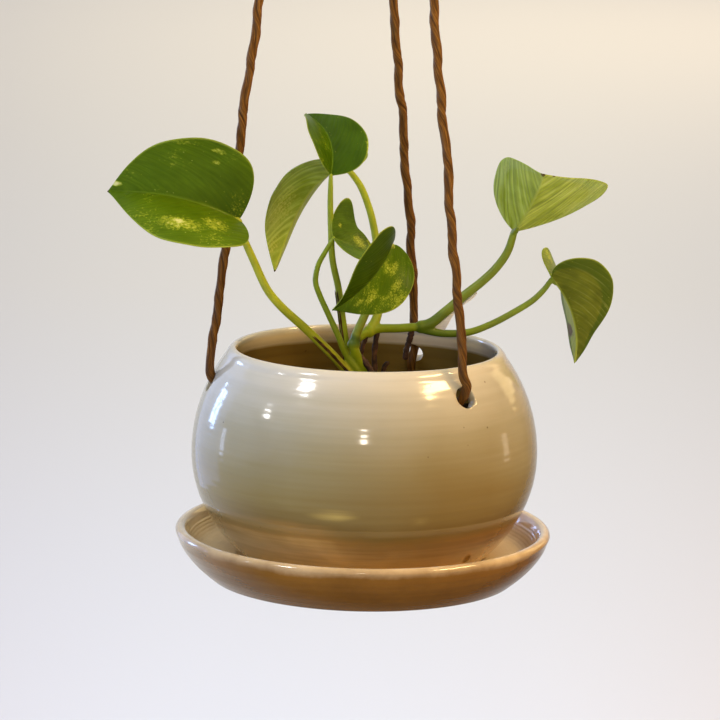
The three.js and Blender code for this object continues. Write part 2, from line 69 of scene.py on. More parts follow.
# Stage: a wide pale floor well below the hanging pot, a pale sky that is dimmer on the viewer's side, as a
# room is, and soft lamps where the glaze mirrors them: a cool window on the left and a warm lamp on the right.
FLOOR_DROP, FLOOR_REACH = 0.75, 40
SKY_BEHIND = (-0.55, 0.83, 0.0)  # the sky is brightest there: behind the pot and a little to the left
LAMPS = {  # direction to the right, away and up from the pot's shoulder, distance, width, height, watts, colour
    "window_left_low": ((-0.957, 0.288, -0.026), 1.6, 0.12, 0.3, 0.35, "#c4d4ff"),
    "window_left_high": ((-0.814, 0.568, 0.123), 1.6, 0.24, 0.42, 2.8, "#a0c2ff"),
    "doorway_right": ((0.963, 0.271, -0.008), 1.6, 0.16, 0.32, 0.25, "#ffe8cc"),
    "warm_doorway": ((0.656, 0.701, 0.3), 2.0, 0.7, 0.7, 2, "#ffdf9c"),
    "ceiling_left": ((-0.58, -0.35, 0.74), 1.8, 0.26, 0.26, 6, "#ffffff"),
    "small_left": ((-0.88, -0.22, 0.42), 1.8, 0.12, 0.07, 1, "#ffffff"),
    "window_behind": ((-0.01, -0.93, 0.38), 2.4, 0.16, 0.2, 3, "#fff4e2"),
    "warm_right": ((0.66, -0.2, 0.72), 1.5, 0.7, 0.2, 14, "#ffd692"),
    "room_fill": ((0.3, -0.85, 0.44), 2.4, 1.6, 1.2, 4, "#fff0dc"),
    "low_front": ((0.2, -0.95, 0.16), 2.2, 1.2, 0.5, 16, "#ffe8c8"),
    "cool_wall": ((-0.86, -0.46, -0.02), 1.9, 1.2, 1.4, 25, "#7aa0ff"),
    "cool_room": ((-0.75, 0.66, 0.05), 3.0, 2.2, 2.6, 10, "#a4bcff"),
    "warm_side": ((0.93, -0.15, 0.3), 1.9, 1.0, 1.2, 10, "#ffac58"),
    "warm_corner": ((0.5, 0.83, 0.28), 7.5, 1.5, 1.5, 195, "#ffe2b0"),
}
HIDDEN_IN_GLOSS = ("room_fill", "low_front", "cool_wall", "warm_side", "warm_corner")
PANES = {"window_left_low": (2, 3), "window_left_high": (2, 3)}  # columns and rows of a window's panes
PANE_SHARE = 0.86  # how much of its place a pane fills between the glazing bars
SUN_STRENGTH, SUN_ANGLE, SUN_FROM = 2.05, 80, (0.1, 0.12, 1)


def linear(colour):
    """A linear RGBA colour from an sRGB hex."""
    parts = [int(colour[i:i + 2], 16) / 255 for i in (1, 3, 5)]
    return tuple(c / 12.92 if c <= 0.04045 else ((c + 0.055) / 1.055) ** 2.4 for c in parts) + (1,)


def feed(node, inputs):
    """Sets a node's inputs: each is a value, an sRGB hex, a socket, or a node whose first output feeds it."""
    for name, value in inputs.items():
        if isinstance(value, bpy.types.Node):
            value = next(socket for socket in value.outputs if socket.enabled)
        if isinstance(value, bpy.types.NodeSocket):
            node.id_data.links.new(value, node.inputs[name])
        else:
            node.inputs[name].default_value = linear(value) if isinstance(value, str) else value


def add(tree, kind, inputs=None, stops=None, **settings):
    """Adds a node with its settings, its inputs and, on a colour ramp, its stops in rising order."""
    node = tree.nodes.new("ShaderNode" + kind)
    for name, value in settings.items():
        setattr(node, name, value)
    feed(node, inputs or {})
    if stops:
        ramp = node.color_ramp.elements
        ramp.remove(ramp[1])
        for i, (position, colour) in enumerate(stops):
            stop = ramp.new(position) if i else ramp[0]
            stop.position, stop.color = position, linear(colour)
    return node


def material(name):
    """A new material: its tree and its one Principled shader."""
    made = bpy.data.materials.new(name)
    made.use_nodes = True
    return made, made.node_tree, made.node_tree.nodes["Principled BSDF"]


# Matt wall paint: no shine. Its colours are painted light and shade: cooler near the viewer, warmer far away
# and a little greyer towards the sides
floor_paint, tree, shader = material("floor_paint")
aside, away = add(tree, "SeparateXYZ", {0: add(tree, "TexCoord").outputs["Object"]}).outputs[:2]
far = add(tree, "MapRange", {"Value": away, "From Min": 0.4, "From Max": 8.0})
painted_room_light = add(tree, "ValToRGB", {0: far}, [(0.0, "#cfd9e4"), (0.25, "#dfdfd7"), (1.0, "#f5eddb")])
from_viewer = add(tree, "Math", {0: away, 1: DISTANCE}, operation="ADD")
spread = add(tree, "Math", {0: aside, 1: from_viewer}, operation="DIVIDE")
spread = add(tree, "Math", {0: spread, 1: spread}, operation="MULTIPLY")
# painted shade: a little greyer towards the sides
painted_side_shade = add(tree, "MapRange", {"Value": spread, "From Max": 0.012, "To Max": 0.35})
painted_room_light = add(tree, "Mix", {0: painted_side_shade, "A": painted_room_light, "B": "#c2c0c0"}, data_type="RGBA")
feed(shader, {"Base Color": painted_room_light, "Roughness": 0.9, "Specular IOR Level": 0.1})
floor_mesh = bpy.data.meshes.new("floor")
corners = [(x * FLOOR_REACH, y * FLOOR_REACH, -FLOOR_DROP) for x, y in ((-1, -1), (1, -1), (1, 1), (-1, 1))]
floor_mesh.from_pydata(corners, [], [(0, 1, 2, 3)])
floor_mesh.materials.append(floor_paint)
floor = bpy.data.objects.new("floor", floor_mesh)
bpy.context.collection.objects.link(floor)
floor.visible_glossy = False

world = bpy.data.worlds.new("world")
world.use_nodes = True
bpy.context.scene.world = world
bpy.context.scene.view_settings.view_transform = "Standard"
sky = world.node_tree
sky.nodes.clear()
sight = add(sky, "TexCoord").outputs["Generated"]
behind = add(sky, "VectorMath", {0: sight, 1: SKY_BEHIND}, operation="DOT_PRODUCT")
behind = add(sky, "MapRange", {"Value": behind, "From Min": -1.0, "From Max": 1.0})
shade = add(sky, "ValToRGB", {0: behind}, [(0.62, "#4a4642"), (0.93, "#dcdad8")])
add(sky, "OutputWorld", {"Surface": add(sky, "Background", {"Color": shade, "Strength": 0.9})})

shoulder = Vector(place((0, 0, -20)))
for name, (direction, distance, width, height, watts, colour) in LAMPS.items():
    columns, rows = PANES.get(name, (1, 1))
    turn = Vector(direction).to_track_quat("Z", "Y")
    for column in range(columns):
        for row in range(rows):
            light = bpy.data.lights.new(name, "AREA")
            light.shape = "RECTANGLE"
            light.size = width / columns * (PANE_SHARE if columns > 1 else 1)
            light.size_y = height / rows * (PANE_SHARE if rows > 1 else 1)
            light.energy = watts / columns / rows
            light.color = linear(colour)[:3]
            lamp = bpy.data.objects.new(name, light)
            pane = Vector((((column + 0.5) / columns - 0.5) * width, ((row + 0.5) / rows - 0.5) * height, 0))
            lamp.location = shoulder + Vector(direction).normalized() * distance + turn @ pane
            lamp.rotation_mode = "QUATERNION"
            lamp.rotation_quaternion = turn
            lamp.visible_glossy = name not in HIDDEN_IN_GLOSS
            bpy.context.collection.objects.link(lamp)
overhead = bpy.data.objects.new("overhead", bpy.data.lights.new("overhead", "SUN"))
overhead.data.energy, overhead.data.angle = SUN_STRENGTH, math.radians(SUN_ANGLE)
overhead.data.color = linear("#eaf0ff")[:3]
overhead.rotation_mode = "QUATERNION"
overhead.rotation_quaternion = Vector(SUN_FROM).to_track_quat("Z", "Y")
overhead.visible_glossy = False
bpy.context.collection.objects.link(overhead)

# Pot: thrown stoneware under one glossy glaze, cream where it is thin on the shoulder, ochre where it has run
# thick round the belly and orange-tan at the foot. Low on the belly the darker ochre is partly painted shade,
# and the light orange-tan at the foot partly painted light. Fine throwing rings and a few iron specks show in
# it.
POT_RADIUS, POT_HEIGHT, POT_WALL, POT_FLOOR = 80, 97, 6, 6
WAIST, DOME_UP, DOME_DOWN = -49, 77, 67  # its height, and half heights of the ellipses above and below it
RIM_OUTER, RIM_INNER = -4, -5.5  # where the rim's round edge begins outside and ends inside
RIM = [(63.9, 0, -2), (62.4, 0, -0.4), (61, 0, 0), (60.1, 0, -0.8), (59.9, 0, -2.4)]
FOOT_EDGE = [(0, -POT_HEIGHT), (40, -POT_HEIGHT), (54.6, -POT_HEIGHT), (55.4, -POT_HEIGHT + 0.15)]
OUTSIDE_POINTS, RIM_POINTS, INSIDE_POINTS = 100, 24, 70
RINGS_OUTSIDE, RINGS_INSIDE = 0.03, 0.1  # mm, height of the throwing rings
HOLE_RADIUS, HOLE_FLARE, HOLE_SIDES = 5.0, 1.1, 32
CORD_HOLES = {"left": (188, 72.03, -15.5), "right": (-50.5, 70.15, -12), "back": (70, 69.58, -11)}
WEEP_RADIUS, WEEP_RISE, WEEP_ANGLES = 2.5, 9, (30, 90, 150)
BAND_SIZE = (142.857, 142.857, 4.7619)  # mm, the glaze's bands are long round the pot and about 5 mm high
RUN_SIZE = (71.4286, 71.4286, 38.4615)  # mm, slow changes where the glaze ran
SPECK_SPACING, SPECK_SHARE = 8.33333, 0.3  # mm between places for an iron speck, and how many hold one
COOL_TO_WARM_ACROSS = (-54, 81)  # mm across, left to right: painted light goes from cool and whiter on the left to warm and browner on the right
PAINTED_BELLY_REFLECTIONS = [((-11, -77, -62.5), (18, 15, 6.2)), ((25, -73.5, -65), (18, 17, 5.6))]  # painted reflections low on the belly: centre and reach


def lengths_along(line):
    """How far each point of a line is from its first one, along the line."""
    return np.r_[0, np.cumsum(np.linalg.norm(np.diff(line, axis=0), axis=1))]


def curve(points, count):
    """count points at even steps of length on the centripetal Catmull-Rom curve through the points."""
    p = np.asarray(points, float)
    p = np.vstack([2 * p[0] - p[1], p, 2 * p[-1] - p[-2]])
    fine = []
    for i in range(1, len(p) - 2):
        d0, d1, d2 = (np.linalg.norm(p[i + k] - p[i + k - 1]) ** 0.5 for k in (0, 1, 2))
        out = d1 * ((p[i] - p[i - 1]) / d0 - (p[i + 1] - p[i - 1]) / (d0 + d1) + (p[i + 1] - p[i]) / d1)
        into = d1 * ((p[i + 1] - p[i]) / d1 - (p[i + 2] - p[i]) / (d1 + d2) + (p[i + 2] - p[i + 1]) / d2)
        t = np.linspace(0, 1, 40)[:, None]
        rise = p[i + 1] - p[i]
        fine.append(p[i] + out * t + (3 * rise - 2 * out - into) * t**2 + (out + into - 2 * rise) * t**3)
    fine = np.vstack(fine)
    along = lengths_along(fine)
    even = np.linspace(0, along[-1], count)
    return np.stack([np.interp(even, along, fine[:, k]) for k in range(3)], 1)


def sweep(line, radii, sides, turns=0.0):
    """A closed tube round a line. radii has one row a point and one column a side; turns twists the section.
    Returns vertices, faces and, for each corner, uv: turns round the section, and mm along the line."""
    line, radii = np.asarray(line, float), np.asarray(radii, float)
    tangent = np.gradient(line, axis=0)
    tangent /= np.linalg.norm(tangent, axis=1)[:, None]
    side = np.cross(tangent[0], (0, 0, 1) if abs(tangent[0][2]) < 0.9 else (1, 0, 0))
    along = lengths_along(line)
    turns = np.broadcast_to(turns, len(line))
    vertices, faces, uv = [], [], []
    for i, (centre, forward) in enumerate(zip(line, tangent)):
        side = side - forward * side.dot(forward)
        side /= np.linalg.norm(side)
        angle = 2 * np.pi * (np.arange(sides) / sides + turns[i])
        ring = np.outer(np.cos(angle), side) + np.outer(np.sin(angle), np.cross(forward, side))
        vertices.extend(centre + ring * radii[i][:, None])
    for i in range(len(line) - 1):
        for k in range(sides):
            a, b = i * sides + k, i * sides + (k + 1) % sides
            faces.append((a, b, b + sides, a + sides))
            u, w = k / sides, (k + 1) / sides
            uv.extend([(u, along[i]), (w, along[i]), (w, along[i + 1]), (u, along[i + 1])])
    faces.append(tuple(range(sides))[::-1])
    uv.extend([(k / sides, 0) for k in range(sides)][::-1])
    faces.append(tuple((len(line) - 1) * sides + k for k in range(sides)))
    uv.extend([(k / sides, along[-1]) for k in range(sides)])
    return vertices, faces, uv


def turned(profile, sides=180):
    """A closed body turned about the pot's axis from a profile that starts and ends on the axis.
    Returns vertices, faces and uv: turns round the axis, and mm along the profile."""
    profile = np.asarray(profile, float)
    along = lengths_along(profile)
    angle = 2 * np.pi * np.arange(sides) / sides
    vertices, faces, uv = [(0, 0, profile[0][1])], [], []
    for radius, height in profile[1:-1]:
        vertices.extend(zip(radius * np.cos(angle), radius * np.sin(angle), np.full(sides, height)))
    vertices.append((0, 0, profile[-1][1]))
    last = len(profile) - 2
    for k in range(sides):
        u, w = k / sides, (k + 1) / sides
        n = (k + 1) % sides
        faces.append((0, 1 + n, 1 + k))
        uv.extend([((u + w) / 2, along[0]), (w, along[1]), (u, along[1])])
        for i in range(1, last):
            a, b = 1 + (i - 1) * sides, 1 + i * sides
            faces.append((a + k, a + n, b + n, b + k))
            uv.extend([(u, along[i]), (w, along[i]), (w, along[i + 1]), (u, along[i + 1])])
        a = 1 + (last - 1) * sides
        faces.append((a + k, a + n, len(vertices) - 1))
        uv.extend([(u, along[last]), (w, along[last]), ((u + w) / 2, along[last + 1])])
    return vertices, faces, uv


def piece(name, shape, materials, replaces=(), face_slots=None):
    """A smooth mesh piece from vertices in mm, faces and, where it has them, a pair of uv for each corner."""
    vertices, faces, *uv = shape
    mesh = bpy.data.meshes.new(name)
    mesh.from_pydata(place(vertices).tolist(), [], [tuple(map(int, face)) for face in faces])
    if uv:
        mesh.uv_layers.new(name="UVMap").data.foreach_set("uv", np.asarray(uv[0], float).ravel())
    for made in materials:
        mesh.materials.append(made)
    if face_slots is not None:
        mesh.polygons.foreach_set("material_index", np.asarray(face_slots, int))
    mesh.shade_smooth()
    mesh.validate()
    obj = bpy.data.objects.new(name, mesh)
    bpy.context.collection.objects.link(obj)
    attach(obj, "root")
    if replaces:
        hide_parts(*replaces)
    return obj


def applied(obj):
    """The piece's modifiers become its mesh."""
    made = bpy.data.meshes.new_from_object(obj.evaluated_get(bpy.context.evaluated_depsgraph_get()))
    obj.modifiers.clear()
    obj.data = made
    made.shade_smooth()


def from_centre(tree, where, centre, reach):
    """How far a place is from the centre of an oval patch, where 1 is the patch's edge."""
    offset = add(tree, "VectorMath", {0: where, 1: centre}, operation="SUBTRACT")
    offset = add(tree, "VectorMath", {0: offset, 1: reach}, operation="DIVIDE")
    return add(tree, "VectorMath", {0: offset}, operation="LENGTH")


def pot_radius(height, widest=POT_RADIUS):
    """The pot's radius at a height: an ellipse above the waist and another below it."""
    from_waist = np.asarray(height, float) - WAIST
    return widest * np.sqrt(1 - (from_waist / np.where(from_waist > 0, DOME_UP, DOME_DOWN)) ** 2)


def throwing_rings(height, size):
    """The shallow uneven rings that the potter's fingers leave."""
    return size * (np.sin(height * 1.9 + 1.5 * np.sin(height / 7)) + 0.6 * np.sin(height * 0.83 + 2))


def drill(radius, degrees, height):
    """A flared drill square to the wall: wider where the glaze rounds the hole's edges."""
    centre = np.array((float(pot_radius(height)), 0, height))
    dome = DOME_UP if height > WAIST else DOME_DOWN
    lift = math.atan2((height - WAIST) / dome**2, centre[0] / POT_RADIUS**2)
    axis = np.array((math.cos(lift), 0, math.sin(lift)))
    depths = np.array((-12, -8.2, -7.2, -6.5, -6, -5, -3, -1, 0, 0.5, 1.2, 2.2, 6))
    flared = HOLE_FLARE * np.clip((np.abs(depths + POT_WALL / 2) - 1.8) / 2.4, 0, 1.9) ** 2.2
    line = centre + axis * depths[:, None]
    turn = math.radians(degrees)
    line = np.stack([line[:, 0] * math.cos(turn), line[:, 0] * math.sin(turn), line[:, 2]], 1)
    cutter = sweep(line, np.repeat((radius + flared)[:, None], HOLE_SIDES, 1), HOLE_SIDES)
    mesh = bpy.data.meshes.new("drill")
    mesh.from_pydata(place(cutter[0]).tolist(), [], cutter[1])
    obj = bpy.data.objects.new("drill", mesh)
    bpy.context.collection.objects.link(obj)
    return obj


outside = np.linspace(-POT_HEIGHT + 0.6, RIM_OUTER, OUTSIDE_POINTS)
inside = np.linspace(RIM_INNER, -POT_HEIGHT + POT_FLOOR, INSIDE_POINTS)
rim = curve([(pot_radius(RIM_OUTER), 0, RIM_OUTER), *RIM,
             (pot_radius(RIM_INNER, POT_RADIUS - POT_WALL), 0, RIM_INNER)], RIM_POINTS)[1:-1]
pot_profile = FOOT_EDGE + list(zip(pot_radius(outside) + throwing_rings(outside, RINGS_OUTSIDE), outside))
pot_profile += [(r, z) for r, _, z in rim]
inner_radius = pot_radius(inside, POT_RADIUS - POT_WALL) + throwing_rings(inside, RINGS_INSIDE)
pot_profile += list(zip(inner_radius, inside)) + [(0, -POT_HEIGHT + POT_FLOOR)]
crest = float(lengths_along(pot_profile)[len(FOOT_EDGE) + OUTSIDE_POINTS + 13])  # mm along the profile

# Glossy stoneware glaze: a hard clear shine, and colours that follow how thickly it ran over the buff clay,
# with painted light and shade in them
glaze, tree, shader = material("cream_and_ochre_glaze")
where = add(tree, "TexCoord").outputs["Object"]
across, _, height = add(tree, "SeparateXYZ", {0: where}).outputs
band_space = add(tree, "Mapping", {"Vector": where, "Scale": [1000 / size for size in BAND_SIZE]})
bands = add(tree, "TexNoise", {"Vector": band_space, "Scale": 1.0, "Detail": 4.0, "Roughness": 0.6})
run_space = add(tree, "Mapping", {"Vector": where, "Scale": [1000 / size for size in RUN_SIZE]})
runs = add(tree, "TexNoise", {"Vector": run_space, "Scale": 1.0, "Detail": 3.0, "Distortion": 0.6})
rise = add(tree, "MapRange", {"Value": height, "From Min": (POT_AT[2] - POT_HEIGHT) / 1000,
                              "From Max": POT_AT[2] / 1000})
uneven = add(tree, "Math", {0: runs, 1: 0.24, 2: -0.2}, operation="MULTIPLY_ADD")
uneven = add(tree, "Math", {0: bands, 1: 0.16, 2: uneven}, operation="MULTIPLY_ADD")
# the stops from 0.19 to 0.36 are the glaze's ochre partly darkened as painted shade; those at 0 and 0.08 are
# the foot's orange-tan partly lightened as painted light
outer = add(tree, "ValToRGB", {0: add(tree, "Math", {0: rise, 1: uneven}, operation="ADD")}, [
    (0.0, "#eac07c"), (0.08, "#dcb46a"), (0.19, "#947239"), (0.27, "#7a6636"), (0.36, "#887848"),
    (0.52, "#90855c"), (0.72, "#a29c7e"), (0.88, "#bab59d"), (1.0, "#d0cab2")])
# Painted light: whiter and cooler on the left, warmer and browner towards the right, most on the lower pot
painted_cool_warm_light = add(tree, "MapRange", {"Value": across, "From Min": COOL_TO_WARM_ACROSS[0] / 1000, "From Max": COOL_TO_WARM_ACROSS[1] / 1000})
painted_cool_warm_light = add(tree, "ValToRGB", {0: painted_cool_warm_light}, [
    (0.0, "#fbfbfd"), (0.2, "#ffffff"), (0.42, "#f0e8dc"), (0.7, "#e4d2b2"), (0.86, "#e6d6ba"),
    (1.0, "#f6eee0")])
cool_warm_strength = add(tree, "MapRange", {"Value": rise, "From Min": 0.45, "To Min": 1.0, "To Max": 0.35})
outer = add(tree, "Mix", {0: cool_warm_strength, "A": outer, "B": painted_cool_warm_light}, data_type="RGBA", blend_type="MULTIPLY")
# Two painted reflections low on the belly: pale yellow patches with ragged edges
ragged = add(tree, "Math", {0: bands, 1: runs}, operation="ADD")
for centre, reach in PAINTED_BELLY_REFLECTIONS:
    offset = from_centre(tree, where, tuple(place(centre)), tuple(size / 1000 for size in reach))
    offset = add(tree, "Math", {0: ragged, 1: 1.6, 2: offset}, operation="MULTIPLY_ADD")
    run = add(tree, "MapRange", {"Value": offset, "From Min": 1.1, "From Max": 2.2, "To Min": 0.85,
                                 "To Max": 0.0}, interpolation_type="SMOOTHSTEP")
    outer = add(tree, "Mix", {0: run, "A": outer, "B": "#bea75a"}, data_type="RGBA")
profile_mm = add(tree, "SeparateXYZ", {0: add(tree, "UVMap")}).outputs["Y"]
# Inside the rim: a painted lit band just below the crest, then painted shade below it, where the inside glaze
# turns a darker ochre that is partly its own colour
past_rim = add(tree, "Math", {0: runs, 1: 4.0, 2: profile_mm}, operation="MULTIPLY_ADD")
painted_lit_band = add(tree, "MapRange", {"Value": past_rim, "From Min": crest + 3.0, "From Max": crest + 5.0})
painted_shade_inside = add(tree, "MapRange", {"Value": past_rim, "From Min": crest + 9.5, "From Max": crest + 11.5})
outer = add(tree, "Mix", {0: painted_lit_band, "A": outer, "B": "#f6e4b4"}, data_type="RGBA")
inner = add(tree, "Mix", {0: bands, "A": "#86692a", "B": "#98803f"}, data_type="RGBA")
glaze_colour = add(tree, "Mix", {0: painted_shade_inside, "A": outer, "B": inner}, data_type="RGBA")
specks = add(tree, "TexVoronoi", {"Vector": where, "Scale": 1000 / SPECK_SPACING})
speck = add(tree, "MapRange", {"Value": specks.outputs["Distance"], "From Min": 0.03, "From Max": 0.07,
                               "To Min": 0.65, "To Max": 0.0})
chosen = add(tree, "SeparateXYZ", {0: specks.outputs["Color"]})
chosen = add(tree, "Math", {0: chosen, 1: SPECK_SHARE}, operation="LESS_THAN")
speck = add(tree, "Math", {0: speck, 1: chosen}, operation="MULTIPLY")
glaze_colour = add(tree, "Mix", {0: speck, "A": glaze_colour, "B": "#4a3216"}, data_type="RGBA")
ripple = add(tree, "Bump", {"Height": bands, "Strength": 0.12, "Distance": 0.0004})
feed(shader, {"Base Color": glaze_colour, "Roughness": 0.14, "Coat Weight": 0.6, "Coat Roughness": 0.04,
              "Normal": ripple})

pot = piece("glazed_globe_pot", turned(pot_profile), [glaze], ["pot"])
drills = [drill(HOLE_RADIUS, degrees, z) for degrees, _, z in CORD_HOLES.values()]
drills += [drill(WEEP_RADIUS, degrees, WEEP_RISE - POT_HEIGHT) for degrees in WEEP_ANGLES]
for cutter in drills:
    cut = pot.modifiers.new("cut", "BOOLEAN")
    cut.operation, cut.solver, cut.object = "DIFFERENCE", "EXACT", cutter
applied(pot)
for cutter in drills:
    bpy.data.objects.remove(cutter)

# Saucer: thrown and joined to the pot's foot. Outside it wears the same glaze fired to a glossy amber brown;
# the lip breaks to cream, and the inside is dull tan with the spiral that the potter's finger left.
SAUCER_FLOOR, FOOT_RECESS = 11, 4.5
FOOT_RING = [(0, FOOT_RECESS), (30, FOOT_RECESS), (53.4, FOOT_RECESS), (54.4, 4.1), (56.4, 0.5), (57.2, 0.05),
             (65.6, 0.0), (66.6, 0.12), (69, 0.4)]
LIP = [(86.5, 0, 20.2), (87, 0, 21.8), (86.2, 0, 23.3), (84.6, 0, 24), (83, 0, 23.5), (81.9, 0, 21.8),
       (80.9, 0, 19)]
BOWL = [(80.9, 0, 19), (79.4, 0, 16), (76.8, 0, 13.2), (73, 0, 11.7), (67, 0, 11.05)]
FLOOR_RADII = (66, 60, 50, 30, 0)
FINGER_RING = 0.1  # mm, height of the rings that a finger left in the bowl
SPIRAL_PITCH = 1.848  # mm between the turns of the spiral
SAUCER_BAND_SIZE, MOTTLE_SIZE = (111.111, 111.111, 3.84615), 18.1818  # mm
foot = -POT_HEIGHT - SAUCER_FLOOR


def flare(height):
    """The radius of the saucer's flared outside at a height over its foot."""
    return 86.3 - 16.6 * np.clip((21 - np.asarray(height, float)) / 21, 0, 1) ** 1.7


wall = np.linspace(1, 18.5, 30)
lip = curve([(flare(wall[-1]), 0, wall[-1]), *LIP], 26)[1:-1]
bowl = curve(BOWL, 40)
saucer_profile = FOOT_RING + list(zip(flare(wall) + throwing_rings(wall, 0.02), wall))
lip_start = len(saucer_profile)
saucer_profile += [(r, z) for r, _, z in lip]
lip_end = len(saucer_profile)
saucer_profile += [(r + FINGER_RING * math.sin(1.7 * i), z) for i, (r, _, z) in enumerate(bowl)]
saucer_profile += [(r, SAUCER_FLOOR) for r in FLOOR_RADII]
lengths = lengths_along(saucer_profile)
lip_start, lip_end, whole = float(lengths[lip_start]), float(lengths[lip_end]), float(lengths[-1])

# The same glaze, darker, with a shine that is strongest by the lip; inside it, tan clay that hardly shines
amber, tree, shader = material("amber_glaze_and_tan_floor")
where = add(tree, "TexCoord").outputs["Object"]
profile_mm = add(tree, "SeparateXYZ", {0: add(tree, "UVMap")}).outputs["Y"]
band_space = add(tree, "Mapping", {"Vector": where, "Scale": [1000 / size for size in SAUCER_BAND_SIZE]})
bands = add(tree, "TexNoise", {"Vector": band_space, "Scale": 1.0, "Detail": 5.0, "Roughness": 0.65})
mottle = add(tree, "TexNoise", {"Vector": where, "Scale": 1000 / MOTTLE_SIZE, "Detail": 5.0, "Roughness": 0.6})
stained = add(tree, "Math", {0: mottle, 1: 5.0, 2: -2.5}, operation="MULTIPLY_ADD")
stained = add(tree, "Math", {0: profile_mm, 1: stained}, operation="ADD")
share = add(tree, "Math", {0: stained, 1: whole}, operation="DIVIDE")
skin = add(tree, "ValToRGB", {0: share}, [
    (0.0, "#583b16"), (lip_start / whole - 0.06, "#664314"), (lip_start / whole + 0.002, "#7c541c"),
    (lip_start / whole + 0.028, "#c9ae7e"), (lip_end / whole - 0.03, "#dfceac"),
    (lip_end / whole + 0.01, "#cabb96"), (lip_end / whole + 0.06, "#c6b48c"), (1.0, "#c4b592")])
tone = add(tree, "Math", {0: bands, 1: mottle}, operation="ADD")
tone = add(tree, "Math", {0: tone, 1: 0.5, 2: 0.5}, operation="MULTIPLY_ADD")
skin = add(tree, "Mix", {0: 1.0, "A": skin, "B": tone}, data_type="RGBA", blend_type="MULTIPLY")
dull = add(tree, "MapRange", {"Value": profile_mm, "From Min": lip_end - 1, "From Max": lip_end + 5,
                              "To Min": 0.16, "To Max": 0.62})
glossy = add(tree, "MapRange", {"Value": profile_mm, "From Min": lip_start - 12, "From Max": lip_start - 4,
                                "To Min": 0.25})
bare = add(tree, "MapRange", {"Value": profile_mm, "From Min": lip_end - 1, "From Max": lip_end + 4,
                              "To Min": 1.0, "To Max": 0.0})
glossy = add(tree, "Math", {0: glossy, 1: bare}, operation="MULTIPLY")
spiral = add(tree, "Math", {0: profile_mm, 1: 2 * math.pi / SPIRAL_PITCH}, operation="MULTIPLY")
spiral = add(tree, "Math", {0: spiral}, operation="SINE")
relief = add(tree, "Mix", {0: 0.5, "A": bands, "B": spiral}, data_type="RGBA")
feed(shader, {"Base Color": skin, "Roughness": dull, "Coat Weight": glossy, "Coat Roughness": 0.04,
              "Specular IOR Level": 0.3,
              "Normal": add(tree, "Bump", {"Height": relief, "Strength": 0.1, "Distance": 0.0003})})
piece("amber_saucer", turned([(r, z + foot) for r, z in saucer_profile]), [amber], ["saucer"])

# Cords: three 4 mm cords of brown waxed fibre, three uneven strands laid in an S twist by hand. They swell and
# kink a little, fine golden and dark fibres run along the strands, and the grooves between are soft and
# darkened by painted shade.
# Each runs from the soil through its hole in the pot's shoulder up to the shared knot.
CORD_DIAMETER, STRANDS = 4.2, 3
LAY_LENGTH = 36  # mm along the cord for one whole turn of a strand
GROOVE = 0.2  # depth of a groove as a share of the cord's radius
KINK, KINK_REACH = 0.45, 24  # mm that a cord wanders from its line, and mm of its waves
CORD_POINTS, CORD_SIDES = 520, 32
THROUGH_HOLE = [(-6, -19), (-6, -10.5), (-5.6, -5.6), (-3.4, -2), (-0.7, 1.6), (0.3, 5.5)]
CORD_LINES = {
    "left": [(-71.5, -10.5, -4), (-69, -10, 15), (-66.5, -9.5, 35), (-64, -9, 55), (-61.5, -8.5, 75),
             (-59.5, -8, 95), (-57, -7.5, 115), (-54.5, -7, 135), (-52, -6, 155), (-46.5, -5.5, 190),
             (-40.5, -4.5, 225), (-33, -3.5, 260), (-23.5, -2, 300), (-12, -1, 338)],
    "right": [(43.5, -54.5, -3), (42, -52, 15), (39.5, -49.5, 35), (37.5, -46.5, 55), (35.5, -44, 75),
             (33.5, -41, 95), (31, -38, 115), (29, -35.5, 135), (27, -32.5, 155), (23, -27, 190),
             (18, -21.5, 225), (12.5, -16, 260), (5.5, -9.5, 300), (-2, -4, 338)],
    "back": [(23, 66, -2), (22, 63.5, 15), (20.5, 60, 35), (19, 56.5, 55), (17, 53, 75),
             (15, 50, 95), (13, 46.5, 115), (11, 43, 135), (9.5, 39.5, 155), (7, 33, 190),
             (4.5, 26, 225), (2, 19.5, 260), (-1, 12, 300), (-4, 4.5, 338)],
}
TAIL_RADIUS, TAIL_DROP, SOIL_DROP = 65, 52, 36
KNOT_BOTTOM, CORDS_APART, TOP_OFFSET, GAP = 352, 3, -6, 0.3
FIBRE_SIZE, PATCH_SIZE = (0.6, 8.33333), (4.4, 20)  # mm round the cord and along it
SHADED_LOW = (-2, 178)  # mm, heights between which the painted shade on the darker lower end fades out

# Waxed fibre: only a faint sheen, golden and dark fibres along the strands, painted shade that makes the
# grooves between them near black, and painted shade on the lower end
cord_fibre, tree, shader = material("brown_waxed_cord")
spiral = add(tree, "UVMap")
turns = add(tree, "SeparateXYZ", {0: spiral})
groove = add(tree, "Math", {0: turns, 1: STRANDS * math.pi}, operation="MULTIPLY")
groove = add(tree, "Math", {0: groove}, operation="SINE")
groove = add(tree, "Math", {0: groove}, operation="ABSOLUTE")
girth = math.pi * CORD_DIAMETER
fibre_space, patch_space = (add(tree, "Mapping", {"Vector": spiral, "Scale": (girth / size[0], 1 / size[1], 1)})
                            for size in (FIBRE_SIZE, PATCH_SIZE))
fibres = add(tree, "TexNoise", {"Vector": fibre_space, "Scale": 1.0, "Detail": 4.0, "Roughness": 0.65})
patches = add(tree, "TexNoise", {"Vector": patch_space, "Scale": 1.0, "Detail": 3.0})
body = add(tree, "ValToRGB", {0: fibres}, [(0.3, "#361e02"), (0.5, "#67400c"), (0.76, "#bf8636")])
patches = add(tree, "MapRange", {"Value": patches, "From Min": 0.35, "From Max": 0.65, "To Max": 0.6})
toned = add(tree, "Mix", {0: patches, "A": body, "B": "#754e17"}, data_type="RGBA")
